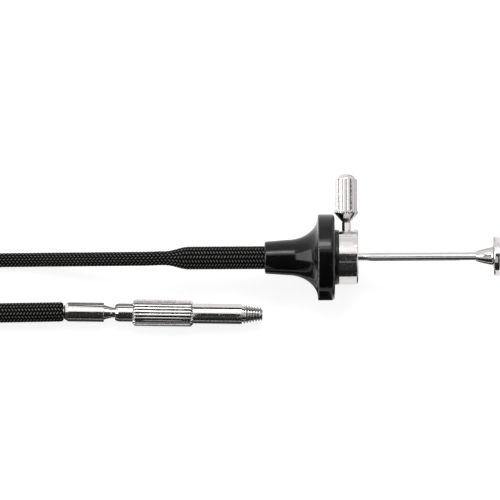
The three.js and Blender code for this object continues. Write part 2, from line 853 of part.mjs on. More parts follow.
const handleGroup = new THREE.Group();
handleGroup.position.set(-centreX, -centreY, handleHeight);
handleGroup.add(
  piece('handle', makeHandle(), 'blackPlastic'),
  piece('front_bush', makeFrontBush(), 'brass'),
  piece('flange_washer', makeWasher(), 'blackWasher'),
  piece('lock_collar', makeCollar(), 'chrome'),
  piece('barrel_tube', makeBarrel(), 'steel'),
  piece('spring_seat', makeSpringSeat(), 'brass'),
  piece('return_spring', makeSpring(), 'steel'),
  piece('plunger_piston', makePiston(), 'brass'),
  piece('plunger_rod', makePlungerRod(), 'chrome'),
  piece('button_hub', makeHub(), 'chrome'),
  piece('thumb_disc', makeDisc(), 'chrome'),
  piece('push_wire_handle', makeHandleWire(), 'steel'),
  piece('braid_clamp', makeBraidClamp(), 'steel'),
  piece('handle_sheath', makeHandleSheath(), 'braid'),
  piece('lock_pad', makeLockPad(), 'brass'),
  piece('lock_screw', makeLockScrew(), 'chrome'),
);

const connectorGroup = new THREE.Group();
connectorGroup.position.set(noseStation - centreX, connectorOffset - centreY, connectorHeight);
connectorGroup.rotation.z = connectorTurn;
connectorGroup.add(
  piece('threaded_nipple', makeNipple(), 'chrome'),
  piece('knurled_sleeve', makeSleeve(), 'chrome'),
  piece('swivel_socket', makeSocket(), 'chrome'),
  piece('swivel_stem', makeStem(), 'chrome'),
  piece('ferrule', makeFerrule(), 'chrome'),
  piece('wire_liner', makeLiner(), 'steel'),
  piece('release_pin', makePin(), 'steel'),
  piece('pin_crimp', makeCrimp(), 'brass'),
  piece('push_wire_tip', makeTipWire(), 'steel'),
);

const sheathGroup = new THREE.Group();
sheathGroup.position.set(connectorSheathFront, 0, 0);
sheathGroup.rotation.z = connectorSheathTurn;
sheathGroup.add(piece('connector_sheath', makeConnectorSheath(), 'braid'));
connectorGroup.add(sheathGroup);

// The cord's frame keeps the handle's stations but counts heights from the table
const cordGroup = new THREE.Group();
cordGroup.position.set(-centreX, -centreY, 0);
const release = new THREE.Group();
release.add(handleGroup, connectorGroup, cordGroup);
release.updateMatrixWorld(true);

const coil = coilPath();
const upperStart = new THREE.Vector3(handleSheathRear - cordGap, 0, handleHeight);
const upperEnd = pastEnd(coil[0], coil[1], cordGap);
const sheathRear = -connectorSheathLength - connectorSheathTaper;
const fromSheath = (station) => cordGroup.worldToLocal(
  sheathGroup.localToWorld(new THREE.Vector3(station, 0, 0)),
);
const lowerStart = pastEnd(coil[coil.length - 1], coil[coil.length - 2], cordGap);
const lowerEnd = fromSheath(sheathRear - cordGap);
const beforeLowerEnd = fromSheath(sheathRear - cordDiameter);
const upperPoints = [upperStart, ...upperRoute.map(toVector), upperEnd];
const lowerPoints = [lowerStart, ...lowerRoute.map(toVector), beforeLowerEnd, lowerEnd];
cordGroup.add(
  piece('cord_upper', makeStretch(upperPoints), 'braid'),
  piece('cord_coil', makeCoil(coil), 'braid'),
  piece('cord_lower', makeStretch(lowerPoints), 'braid'),
);

export default release;
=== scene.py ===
import json
import math
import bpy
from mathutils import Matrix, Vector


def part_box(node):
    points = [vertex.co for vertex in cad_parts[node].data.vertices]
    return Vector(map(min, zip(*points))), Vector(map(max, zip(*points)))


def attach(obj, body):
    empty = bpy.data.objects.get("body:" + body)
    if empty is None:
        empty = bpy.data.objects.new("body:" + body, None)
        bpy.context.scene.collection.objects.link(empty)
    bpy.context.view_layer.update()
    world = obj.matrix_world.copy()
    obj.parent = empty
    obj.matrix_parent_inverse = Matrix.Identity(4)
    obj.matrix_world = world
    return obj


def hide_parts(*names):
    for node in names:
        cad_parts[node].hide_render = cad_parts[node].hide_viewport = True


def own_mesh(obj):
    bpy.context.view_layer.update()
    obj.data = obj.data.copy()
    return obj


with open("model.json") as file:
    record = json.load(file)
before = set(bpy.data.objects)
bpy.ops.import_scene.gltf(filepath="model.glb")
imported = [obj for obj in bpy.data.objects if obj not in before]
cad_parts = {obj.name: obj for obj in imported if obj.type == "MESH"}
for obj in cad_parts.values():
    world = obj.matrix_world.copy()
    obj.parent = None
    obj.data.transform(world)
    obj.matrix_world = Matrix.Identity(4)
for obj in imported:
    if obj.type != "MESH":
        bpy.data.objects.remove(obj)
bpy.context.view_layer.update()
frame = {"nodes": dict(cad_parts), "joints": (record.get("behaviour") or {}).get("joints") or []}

from types import SimpleNamespace as Values

import bpy
import numpy as np
from mathutils import Vector

# Cable shutter release. Sizes in the dictionaries are millimetres unless they say otherwise, and
# a function reads them as v.name. Stations run along a turned piece's axis, from the point that
# the frame gives.
mm = 0.001
tolerance = 0.01  # within which a point counts as lying on a surface
joints = {joint["name"]: joint for joint in frame["joints"]}

handleLow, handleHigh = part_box("handle")
handleMiddle = (handleLow + handleHigh) / 2
handleLine = (Vector((handleHigh.x, handleMiddle.y, handleMiddle.z)), Vector((1, 0, 0)))
screwLine = (Vector(joints["lock_turn"]["pos_m"]), Vector((0, 1, 0)))
noseLine = (Vector(joints["connector_swivel"]["pos_m"]), Vector(joints["connector_swivel"]["axis"]))


def placeOn(line, radius, station):
    origin, along = line
    return origin + along * (station * mm) + Vector((0, 0, radius * mm))


def addObject(name, data):
    added = bpy.data.objects.new(name, data)
    bpy.context.scene.collection.objects.link(added)
    return added


def selectOnly(piece=None):
    if bpy.context.object and bpy.context.object.mode != "OBJECT":
        bpy.ops.object.mode_set(mode="OBJECT")
    bpy.ops.object.select_all(action="DESELECT")
    if piece:
        piece.select_set(True)
        bpy.context.view_layer.objects.active = piece


# Camera: straight down on the table, as the photograph was taken
cameraValues = {
    "frameWidth": 87.5,
    "frameMiddle": (-15.99, -2.19),
    "lens": 500.0,
    "turn": -0.35,  # degrees
    "sharpHeight": 5.0,
    "clip": (0.01, 20),  # metres
}


def addCamera(v):
    data = bpy.data.cameras.new("camera")
    data.lens = v.lens
    data.clip_start, data.clip_end = v.clip
    camera = addObject("camera", data)
    distance = v.frameWidth * mm * data.lens / data.sensor_width
    x, y = v.frameMiddle
    camera.location = (x * mm, y * mm, v.sharpHeight * mm + distance)
    camera.rotation_euler = (0, 0, math.radians(v.turn))
    bpy.context.scene.camera = camera


addCamera(Values(**cameraValues))
print("camera in place")


# Shader nodes: an input is given a value, or the output that feeds it
def addNode(tree, kind, inputs=None, **settings):
    node = tree.nodes.new("ShaderNode" + kind)
    for name, value in settings.items():
        setattr(node, name, value)
    for label, value in (inputs or {}).items():
        if isinstance(value, bpy.types.NodeSocket):
            tree.links.new(value, node.inputs[label])
        else:
            node.inputs[label].default_value = value
    return node


def addMath(tree, operation, first, second):
    return addNode(tree, "Math", {0: first, 1: second}, operation=operation).outputs["Value"]


def addRange(tree, value, given, result=(0.0, 1.0)):  # turns one range of values into another
    labels = ("From Min", "From Max", "To Min", "To Max")
    inputs = dict(zip(labels, (*given, *result)))
    return addNode(tree, "MapRange", {"Value": value, **inputs}).outputs["Result"]


def addNoise(tree, vector, scale, detail, roughness=0.5):
    inputs = {"Vector": vector, "Scale": scale, "Detail": detail, "Roughness": roughness}
    return addNode(tree, "TexNoise", inputs).outputs["Fac"]


def addMix(tree, factor, first, second):
    inputs = {"Factor": factor, "A": first, "B": second}
    return addNode(tree, "Mix", inputs, data_type="RGBA").outputs["Result"]


def addBump(tree, height, strength, distance):
    inputs = {"Height": height, "Strength": strength, "Distance": distance}
    return addNode(tree, "Bump", inputs).outputs["Normal"]


def objectPlace(tree):
    return addNode(tree, "TexCoord").outputs["Object"]


def newGroup(name, inputs, outputs):
    group = bpy.data.node_groups.new(name, "ShaderNodeTree")
    for label, value in inputs.items():
        kind = "NodeSocketVector" if value is None else "NodeSocketFloat"
        socket = group.interface.new_socket(name=label, in_out="INPUT", socket_type=kind)
        if value is not None:
            socket.default_value = value
    for label in outputs:
        group.interface.new_socket(name=label, in_out="OUTPUT", socket_type="NodeSocketFloat")
    return group, group.nodes.new("NodeGroupInput").outputs, group.nodes.new("NodeGroupOutput").inputs


markLabels = ("Patch Scale", "Hairline Scale", "Smoothest", "Dullest", "Pit Scale", "Pits")
markShape = {
    "patchDetail": 5, "patchRoughness": 0.6, "patchRange": (0.35, 0.7), "pitDetail": 1,
    "pitRange": (0.58, 0.8), "hairlineStretch": (1.0, 0.12, 0.12), "hairlineDetail": 3,
    "usual": (900.0, 4000.0, 0.08, 0.2, 3000.0, 0.0),  # what the group starts with, by label
}


def makeMarksGroup(v):  # cloudy dull patches, pits, and fine hairlines where hands have rubbed
    inputs = {"Vector": None, **dict(zip(markLabels, v.usual))}
    tree, given, result = newGroup("handling marks", inputs, ["Roughness", "Height"])
    patches = addNoise(tree, given["Vector"], given["Patch Scale"], v.patchDetail, v.patchRoughness)
    dull = addRange(tree, patches, v.patchRange, (given["Smoothest"], given["Dullest"]))
    pits = addRange(tree, addNoise(tree, given["Vector"], given["Pit Scale"], v.pitDetail), v.pitRange)
    pitted = addMath(tree, "MULTIPLY", pits, given["Pits"])
    stretched = addNode(tree, "Mapping", {"Vector": given["Vector"], "Scale": v.hairlineStretch})
    hairlines = addNoise(tree, stretched.outputs["Vector"], given["Hairline Scale"], v.hairlineDetail)
    tree.links.new(addMath(tree, "ADD", dull, pitted), result["Roughness"])
    tree.links.new(addMath(tree, "SUBTRACT", hairlines, pitted), result["Height"])
    return tree


paintedLayerShape = {"scale": 3500, "detail": 1, "breaks": (0.38, 0.6), "least": 0.35}


def makePaintedLayerGroup(v):  # how much of a painted layer is left where it has broken up
    tree, given, result = newGroup("broken painted layer", {"Vector": None, "Amount": 0.0}, ["Share"])
    left = addRange(tree, addNoise(tree, given["Vector"], v.scale, v.detail), v.breaks, (v.least, 1.0))
    tree.links.new(addMath(tree, "MULTIPLY", given["Amount"], left), result["Share"])
    return tree


marksGroup = makeMarksGroup(Values(**markShape))
paintedLayerGroup = makePaintedLayerGroup(Values(**paintedLayerShape))

# Finishes, by the record's slot: the shader's own values, the marks by label, and the bump's
# strength and depth
finishes = {
    "chrome": (
        {"Base Color": (0.65, 0.63, 0.622, 1), "Metallic": 1.0},
        (900, 5000, 0.05, 0.14, 6000, 0.35), (0.3, 0.005),
    ),
    "steel": (
        {"Base Color": (0.56, 0.56, 0.57, 1), "Metallic": 1.0},
        (1200, 9000, 0.22, 0.38, 5000, 0.1), (0.4, 0.006),
    ),
    "brass": (
        {"Base Color": (0.75, 0.55, 0.25, 1), "Metallic": 1.0},
        (1000, 9000, 0.2, 0.36, 5000, 0.1), (0.4, 0.006),
    ),
    "black_plastic": (
        {"Base Color": (0.003, 0.003, 0.003, 1), "IOR": 1.5, "Specular IOR Level": 0.26},
        (500, 2500, 0.07, 0.16, 3500, 0.3), (0.15, 0.005),
    ),
    "black_washer": (
        {"Base Color": (0.005, 0.005, 0.005, 1), "IOR": 1.5, "Specular IOR Level": 0.4},
        (1500, 5000, 0.25, 0.4, 5000, 0.2), (0.4, 0.01),
    ),
}
paintedLayers = {  # by slot: the layer of a piece's mesh that says where the painted layer lies, and its colour: painted shade with some grime in the chrome's grooves, a painted highlight with some wear on the plastic's edges
    "chrome": ("grime", (0.035, 0.031, 0.028, 1)),
    "black_plastic": ("wear", (0.14, 0.136, 0.128, 1)),
}
materials = {}


def newMaterial(name, values):
    materials[name] = bpy.data.materials.new(name + "_finish")
    materials[name].use_nodes = True
    tree = materials[name].node_tree
    shader = tree.nodes["Principled BSDF"]
    for label, value in values.items():
        shader.inputs[label].default_value = value
    return tree, shader.inputs


def addMarks(tree, shader, marks, bumpStrength, bumpDepth):
    inputs = {"Vector": objectPlace(tree), **dict(zip(markLabels, marks))}
    group = addNode(tree, "Group", inputs, node_tree=marksGroup)
    tree.links.new(group.outputs["Roughness"], shader["Roughness"])
    tree.links.new(addBump(tree, group.outputs["Height"], bumpStrength, bumpDepth * mm), shader["Normal"])


# paints a layer into the base colour: painted shade on chrome, a painted highlight on black plastic
def addPaintedLayer(tree, shader, layer, colour):
    amount = addNode(tree, "Attribute", attribute_name=layer).outputs["Fac"]
    inputs = {"Vector": objectPlace(tree), "Amount": amount}
    film = addNode(tree, "Group", inputs, node_tree=paintedLayerGroup)
    clean = tuple(shader["Base Color"].default_value)
    tree.links.new(addMix(tree, film.outputs["Share"], clean, colour), shader["Base Color"])


for slotName, (shaderValues, markValues, bumpValues) in finishes.items():
    slotTree, slotShader = newMaterial(slotName, shaderValues)
    addMarks(slotTree, slotShader, markValues, *bumpValues)
    if slotName in paintedLayers:
        addPaintedLayer(slotTree, slotShader, *paintedLayers[slotName])

braidFinish = {
    # the gap colour is painted shade between the strands, and the crest colour is a painted glint on each
    # strand's crest
    "gap": (0.001, 0.001, 0.001, 1),
    "yarn": (0.0032, 0.0032, 0.003, 1),
    "crest": (0.5, 0.5, 0.46, 1),
    "crestPower": 10.0,  # how narrow the painted glint on each crest is
    "acrossPower": 2.0,
    "alongPower": 3.0,
    "fuzzScale": 4000,
    "fuzzDetail": 4,
    "smoothest": 0.36,
    "dullest": 0.8,
    "fibres": 5.0,  # fibres across a strand
    "fibreDepth": 0.015,
    "crownDepth": 0.05,
}


def addHump(tree, share, power):  # 0 at both ends of a share, 1 in its middle
    twice = addMath(tree, "MULTIPLY", share, 2.0)
    fromMiddle = addMath(tree, "ABSOLUTE", addMath(tree, "SUBTRACT", twice, 1.0), 0.0)
    return addMath(tree, "SUBTRACT", 1.0, addMath(tree, "POWER", fromMiddle, power))


def makeBraidMaterial(v):  # the UV map runs across a strand, and along it from dive to dive
    tree, shader = newMaterial("braid", {"IOR": 1.5, "Specular IOR Level": 0.05})
    strands = addNode(tree, "UVMap", uv_map="strands").outputs["UV"]
    parts = addNode(tree, "SeparateXYZ", {"Vector": strands}).outputs
    across = addHump(tree, parts["X"], v.acrossPower)
    crown = addMath(tree, "MULTIPLY", across, addHump(tree, parts["Y"], v.alongPower))
    fuzz = addNoise(tree, objectPlace(tree), v.fuzzScale, v.fuzzDetail)
    # painted glint: the crest colour, narrowed to the middle of each crest and broken up by noise; painted
    # shade: the gap colour in the hollows
    paintedGlint = addMath(tree, "MULTIPLY", addMath(tree, "POWER", crown, v.crestPower), fuzz)
    colour = addMix(tree, paintedGlint, addMix(tree, crown, v.gap, v.yarn), v.crest)
    tree.links.new(colour, shader["Base Color"])
    rough = addRange(tree, crown, (0.0, 1.0), (v.dullest, v.smoothest))
    tree.links.new(rough, shader["Roughness"])
    phase = addMath(tree, "MULTIPLY", parts["X"], math.tau * v.fibres)
    fibre = addMath(tree, "MULTIPLY", addMath(tree, "SINE", phase, 0.0), v.fibreDepth)
    relief = addMath(tree, "ADD", addMath(tree, "MULTIPLY", crown, v.crownDepth), fibre)
    tree.links.new(addBump(tree, relief, 1.0, mm), shader["Normal"])


makeBraidMaterial(Values(**braidFinish))
print("materials ready")


def settle(piece, body, slot, *nodes):  # the piece's finish, what carries it and what it stands for
    piece.data.materials.clear()
    piece.data.materials.append(materials[slot])
    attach(piece, body)
    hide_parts(*nodes)


# Cord and braid sheaths: one braid of strands, two over and two under, fat over the barrel
# and over the liner and slim between them
braid = {
    "strands": 16,  # in each direction
    "slimRadius": 1.25,
    "fatRadius": 2.02,
    "slimPitch": 0.674,  # along the cord, from strand to strand
    "fatPitch": 0.54,
    "relief": 0.15,
    "fullRelief": 1.1,  # the radius from which the relief is whole
    "wave": 0.5,  # how much a strand rises and dives, against its own crown
    "dip": 0.2,  # the share of the wave that shows below the strands' edges
    "crownPower": 2.2,
    "wavePower": 1.5,
    "smoothBelow": 75,  # degrees
    "sheathSpacing": 0.05,
    "cordSpacing": 0.1,
    "sheathDetail": 4,  # rings to half a strand's pitch
    "cordDetail": 2,
}
handleSheath = {"front": -9.88, "shoulder": -25.4, "rear": -29.68, "bore": 1.6, "boreEnd": -26.5}
connectorSheath = {
    "front": -34.9,  # from the nose, along the connector
    "lean": 1.65,  # degrees
    "length": 13.31,
    "taper": 2.6,
    "radius": 1.725,
    "frontRound": 0.7,
    "bore": 1.35,
    "boreEnd": 11.45,
    "lip": 0.1,
}
coil = {
    "middle": (-86.33, -1.65),  # from the flange's front face and the handle's axis
    "innerRadius": 11.3,
    "step": 2.95,
    "entry": 27.8,  # degrees
    "exit": -43.3,
    "turns": 4,
    "climb": 0.5,
    "pointsPerTurn": 24,
    "lead": 2.5,  # straight on, before the coil and after it
}
handleLeads = (0, 0.3, 0.9)  # straight on from the handle's sheath
connectorLead = 2.2  # and before the connector's
upperRoute = [
    (-33, -0.07, 7.42), (-36, -0.08, 6.92), (-39, -0.1, 6.11), (-42, -0.11, 5.11),
    (-45, -0.12, 4.03), (-48, -0.13, 2.99), (-51, -0.14, 2.1), (-54, -0.16, 1.48),
    (-57, -0.17, 1.26), (-60, -0.18, 1.25), (-62.92, 0.02, 1.25), (-65.01, 0.6, 1.25),
    (-66.96, 1.55, 1.25), (-68.71, 2.83, 1.25),
]
lowerRoute = [(-71.4, -11.1, 4.1), (-69.15, -10.11, 3.6), (-67.25, -9.64, 2.95), (-65.4, -9.49, 2.45)]


def fromTable(x, y, z):  # a route's point: from the flange's front and the axis, height from the table
    return Vector((handleLine[0].x + x * mm, handleLine[0].y + y * mm, z * mm))


def eased(t):  # from 0 to 1, level at both ends
    return t * t * (3 - 2 * t)


def coilRoute(v):
    turns = v.turns - math.radians(v.entry - v.exit) / math.tau
    half = turns / 2
    steps = round(turns * v.pointsPerTurn)
    points = []
    for k in range(steps + 1):
        turn = turns * k / steps
        angle = math.radians(v.entry) + math.tau * turn
        radius = v.innerRadius + v.step * abs(half - turn)
        rise = min(max((turn - half) / v.climb + 0.5, 0), 1)
        x = v.middle[0] + radius * math.cos(angle)
        y = v.middle[1] + radius * math.sin(angle)
        points.append(fromTable(x, y, braid["slimRadius"] + v.step * eased(rise)))
    return points


def leadPast(end, inner):
    out = Vector((end.x - inner.x, end.y - inner.y, 0))
    return end + out.normalized() * (coil["lead"] * mm)


sheathTurn = math.radians(connectorSheath["lean"])
sheathOrigin = noseLine[0] + noseLine[1] * (connectorSheath["front"] * mm)
sheathAlong = Vector((
    noseLine[1].x * math.cos(sheathTurn) - noseLine[1].y * math.sin(sheathTurn),
    noseLine[1].x * math.sin(sheathTurn) + noseLine[1].y * math.cos(sheathTurn),
    0,
))
sheathRear = connectorSheath["length"] + connectorSheath["taper"]
cordStart = placeOn(handleLine, 0, handleSheath["rear"])
cordEnd = sheathOrigin - sheathAlong * (sheathRear * mm)
coilPoints = coilRoute(Values(**coil))
cordRoute = (
    [placeOn(handleLine, 0, handleSheath["rear"] - lead) for lead in handleLeads]
    + [fromTable(*point) for point in upperRoute]
    + [leadPast(coilPoints[0], coilPoints[1])]
    + coilPoints
    + [leadPast(coilPoints[-1], coilPoints[-2])]
    + [fromTable(*point) for point in lowerRoute]
    + [cordEnd - sheathAlong * (connectorLead * mm), cordEnd]
)


def smoothLine(points, spacing, fineness=24):  # a centripetal curve through the points, at even steps
    knots = [np.array(p, float) for p in points]
    knots = [2 * knots[0] - knots[1]] + knots + [2 * knots[-1] - knots[-2]]
    fine = []
    for p0, p1, p2, p3 in zip(knots, knots[1:], knots[2:], knots[3:]):
        t1 = math.sqrt(np.linalg.norm(p1 - p0))
        t2 = t1 + math.sqrt(np.linalg.norm(p2 - p1))
        t3 = t2 + math.sqrt(np.linalg.norm(p3 - p2))
        for t in np.linspace(t1, t2, fineness, endpoint=False):
            a1 = (t1 - t) / t1 * p0 + t / t1 * p1
            a2 = (t2 - t) / (t2 - t1) * p1 + (t - t1) / (t2 - t1) * p2
            a3 = (t3 - t) / (t3 - t2) * p2 + (t - t2) / (t3 - t2) * p3
            b1 = (t2 - t) / t2 * a1 + t / t2 * a2
            b2 = (t3 - t) / (t3 - t1) * a2 + (t - t1) / (t3 - t1) * a3
            fine.append((t2 - t) / (t2 - t1) * b1 + (t - t1) / (t2 - t1) * b2)
    fine.append(knots[-2])
    fine = np.array(fine)
    reach = np.concatenate([[0], np.cumsum(np.linalg.norm(np.diff(fine, axis=0), axis=1))])
    even = np.linspace(0, reach[-1], max(int(reach[-1] / spacing), 2) + 1)
    return np.stack([np.interp(even, reach, fine[:, k]) for k in range(3)], axis=1), even


def strandState(cell):  # 1 where the first family lies on top of the second, -1 where under it
    return np.where(np.mod(cell, 4) < 2, 1.0, -1.0)


def strandRise(v, share, near, before, after):  # rises and dives from one crossing to the next
    edge = np.where(share < 0.5, before, after)
    out = np.abs(share - 0.5) ** v.wavePower * 2 ** v.wavePower
    return near * (1 - out / 2) + edge * out / 2


def braidHeight(v, a, b, hair=1e-6):
    i, j = np.floor(a + hair), np.floor(b + hair)
    shareA, shareB = a - i, b - j
    crownA = 1 - np.abs(2 * shareA - 1) ** v.crownPower
    crownB = 1 - np.abs(2 * shareB - 1) ** v.crownPower
    here = strandState(i + j)
    riseA = strandRise(v, shareB, here, strandState(i + j - 1), strandState(i + j + 1))
    riseB = -strandRise(v, shareA, here, strandState(i - 1 + j), strandState(i + 1 + j))
    height = np.maximum(riseA * v.wave + crownA, riseB * v.wave + crownB)
    return np.clip((height + v.wave * v.dip) / (1 + v.wave * (1 + v.dip)), 0, 1)


def unit(rows):
    return rows / np.linalg.norm(rows, axis=1)[:, None]


def ringPlan(v, line, reach, radii, phase, detail):
    # where the rings lie along a line, and in which directions
    share = np.clip((radii - v.slimRadius * mm) / ((v.fatRadius - v.slimRadius) * mm), 0, 1)
    pitches = (v.slimPitch + (v.fatPitch - v.slimPitch) * share) * mm
    steps = np.diff(reach) / ((pitches[1:] + pitches[:-1]) / 2)
    steps *= round(steps.sum()) / steps.sum()  # whole strands, so that one tube's end fits the next
    turns = phase + np.concatenate([[0], np.cumsum(steps)])
    rings = np.arange(round(turns[0] * 2 * detail), round(turns[-1] * 2 * detail) + 1)
    at = np.interp(rings / (2 * detail), turns, reach)
    at[0], at[-1] = reach[0], reach[-1]
    middle = np.stack([np.interp(at, reach, line[:, k]) for k in range(3)], axis=1)
    along = unit(np.gradient(middle, axis=0))
    across = unit(np.cross((0.0, 0.0, 1.0), along))
    radius = np.interp(at, reach, radii)
    return Values(
        rings=rings, middle=middle, along=along, across=across, over=np.cross(along, across),
        radius=radius, detail=detail, around=v.strands * detail, endPhase=turns[-1],
    )


def braidPoints(v, plan):  # a row of points to a ring, and the angle of each point
    odd = np.mod(plan.rings, 2)[:, None]
    u = (2 * np.arange(plan.around)[None, :] + odd) / (2 * plan.detail)
    s = plan.rings[:, None] / (2 * plan.detail)
    angle = math.tau * u / v.strands
    reliefShare = np.clip(plan.radius / (v.fullRelief * mm), 0, 1)[:, None]
    r = plan.radius[:, None] - v.relief * mm * reliefShare * (1 - braidHeight(v, u + s, u - s))
    points = (
        plan.middle[:, None, :]
        + (r * np.cos(angle))[:, :, None] * plan.over[:, None, :]
        + (r * np.sin(angle))[:, :, None] * plan.across[:, None, :]
    )
    return points.reshape(-1, 3), angle


def braidFaces(plan):
    # the diamonds between two strands of either direction, and the half ones at both ends: for
    # each corner its ring, and its place counted on past the full turn
    rings, m, last = plan.rings, np.arange(plan.around), len(plan.rings) - 1
    ring, place = np.meshgrid(np.arange(1, last), m, indexing="ij")
    shift = np.mod(rings, 2)[ring]
    corners = [
        [(ring, place), (ring + 1, place + shift), (ring, place + 1), (ring - 1, place + shift)],
        [(0, m), (1, m + rings[0] % 2), (0, m + 1)],
        [(last, m), (last, m + 1), (last - 1, m + rings[-1] % 2)],
    ]
    for each in corners:
        faceRings = np.stack([np.broadcast_to(at, spot.shape) for at, spot in each], axis=-1)
        yield faceRings, np.stack([spot for at, spot in each], axis=-1)


def strandUv(plan, faceRings, facePlaces):  # across a strand, and along it from one dive to the next
    aroundShare = (2 * facePlaces + np.mod(plan.rings, 2)[faceRings]) / (2 * plan.detail)
    alongShare = plan.rings[faceRings] / (2 * plan.detail)
    inA, inB = aroundShare + alongShare, aroundShare - alongShare
    cellA = np.floor(inA.mean(axis=-1, keepdims=True))
    cellB = np.floor(inB.mean(axis=-1, keepdims=True))
    step = np.mod(cellA + cellB, 4)  # a strand lies on top through two crossings, then under two
    firstOnTop = step < 2
    across = np.where(firstOnTop, inA - cellA, inB - cellB)
    along = np.where(firstOnTop, step + inB - cellB, step - 2 + inA - cellA) / 2
    return np.stack([across, along], axis=-1).reshape(-1, 2)


def capEnd(plan, ring, angles, points, faces, boreRadius, boreDepth):
    # closes an end: a flat face, or a rim, a bore of that depth and the bore's bottom
    inward = plan.along[ring] * (1 if ring == 0 else -1)
    sides = np.cos(angles)[:, None] * plan.over[ring] + np.sin(angles)[:, None] * plan.across[ring]
    rows = [range(ring * plan.around, (ring + 1) * plan.around)]
    for depth in (0, boreDepth) if boreDepth else ():
        rows.append(range(len(points), len(points) + plan.around))
        points.extend((plan.middle[ring] + inward * depth + sides * boreRadius).tolist())
    tip = len(points)
    points.append((plan.middle[ring] + inward * boreDepth).tolist())
    turned = -1 if ring else 1
    for near, far in zip(rows, [*rows[1:], None]):
        for k in range(plan.around):
            after = (k + 1) % plan.around
            face = [near[k], near[after], far[after], far[k]] if far else [near[k], near[after], tip]
            faces.append(face[::turned])


def braidTube(name, line, reach, radiusAt, phase, detail, bore=(0, 0, 0)):
    # rings along the line, each turned half a step against the last; the bore is given by its
    # radius and its depths at the start and at the end
    v = Values(**braid)
    plan = ringPlan(v, line, reach, radiusAt(reach), phase, detail)
    ringPoints, angle = braidPoints(v, plan)
    points, faces, strandPlaces = ringPoints.tolist(), [], []
    for faceRings, facePlaces in braidFaces(plan):
        indices = faceRings * plan.around + np.mod(facePlaces, plan.around)
        faces += indices.reshape(-1, faceRings.shape[-1]).tolist()
        strandPlaces.append(strandUv(plan, faceRings, facePlaces))
    boreRadius, *boreDepths = (size * mm for size in bore)
    for ring, boreDepth in zip((0, len(plan.rings) - 1), boreDepths):
        capEnd(plan, ring, angle[ring], points, faces, boreRadius, boreDepth)
    mesh = bpy.data.meshes.new(name)
    mesh.from_pydata(points, [], faces)
    strandPlaces = np.concatenate(strandPlaces)
    flat = np.zeros((len(mesh.loops), 2), np.float32)
    flat[:len(strandPlaces)] = strandPlaces
    mesh.uv_layers.new(name="strands").data.foreach_set("uv", flat.reshape(-1))
    mesh.update()
    piece = addObject(name, mesh)
    selectOnly(piece)
    bpy.ops.object.mode_set(mode="EDIT")
    bpy.ops.mesh.select_all(action="SELECT")
    bpy.ops.mesh.normals_make_consistent(inside=False)
    bpy.ops.object.mode_set(mode="OBJECT")
    bpy.ops.object.shade_smooth_by_angle(angle=math.radians(v.smoothBelow))
    return piece, plan.endPhase


def easedRadius(knots):  # radius along a stretch, eased between (reach, radius) pairs in millimetres
    places, sizes = np.array(knots).T * mm

    def radiusAt(reach):
        out = np.full(len(reach), sizes[0])
        for k in range(len(knots) - 1):
            span = places[k + 1] - places[k]
            out = out + (sizes[k + 1] - sizes[k]) * eased(np.clip((reach - places[k]) / span, 0, 1))
        return out

    return radiusAt


def straightLine(start, end):
    length = (end - start).length
    reach = np.linspace(0, length, max(int(length / (braid["sheathSpacing"] * mm)), 2) + 1)
    return np.array(start) + reach[:, None] * np.array((end - start).normalized()), reach


def makeHandleSheath(v):
    line, reach = straightLine(placeOn(handleLine, 0, v.front), cordStart)
    fat, slim = (v.front - v.shoulder, braid["fatRadius"]), (v.front - v.rear, braid["slimRadius"])
    bore = (v.bore, v.front - v.boreEnd, 0)
    shape = easedRadius([fat, slim])
    return braidTube("braid_sheath_handle", line, reach, shape, 0.0, braid["sheathDetail"], bore)


def makeCord(phase):
    line, reach = smoothLine(cordRoute, braid["cordSpacing"] * mm)
    slim = easedRadius([(0, braid["slimRadius"])])
    print("cord", round(reach[-1] / mm, 1), "mm")
    return braidTube("braided_cord", line, reach, slim, phase, braid["cordDetail"])


def makeConnectorSheath(v, phase):
    def radiusAt(reach):  # rounded in at the front, down to a lip about the bore
        tapered = easedRadius([(0, braid["slimRadius"]), (v.taper, v.radius)])(reach)
        left = np.clip((sheathRear * mm - reach) / (v.frontRound * mm), 0, 1)
        lip = (v.bore + v.lip) * mm
        return lip + (tapered - lip) * np.sqrt(np.clip(1 - (1 - left) ** 2, 0, 1))

    line, reach = straightLine(cordEnd, sheathOrigin)
    bore = (v.bore, 0, v.boreEnd)
    return braidTube("braid_sheath_connector", line, reach, radiusAt, phase, braid["sheathDetail"], bore)


sheathAtHandle, phase = makeHandleSheath(Values(**handleSheath))
settle(sheathAtHandle, "handle", "braid", "handle_sheath")
cord, phase = makeCord(phase)
settle(cord, "handle", "braid", "cord_upper", "cord_coil", "cord_lower")
sheathAtConnector, phase = makeConnectorSheath(Values(**connectorSheath), phase)
settle(sheathAtConnector, "handle", "braid", "connector_sheath")
print("braid sheaths made")


# Turned pieces: a corner is drawn along the outline and spun about the piece's line
def quarterArc(start, end, leavesAlong, steps):
    centre = (end[0], start[1]) if leavesAlong else (start[0], end[1])
    arc = []
    for k in range(steps + 1):
        turn = math.pi / 2 * k / steps
        arc.append(tuple(
            centre[axis]
            + (start[axis] - centre[axis]) * math.cos(turn)
            + (end[axis] - centre[axis]) * math.sin(turn)
            for axis in (0, 1)
        ))
    return arc


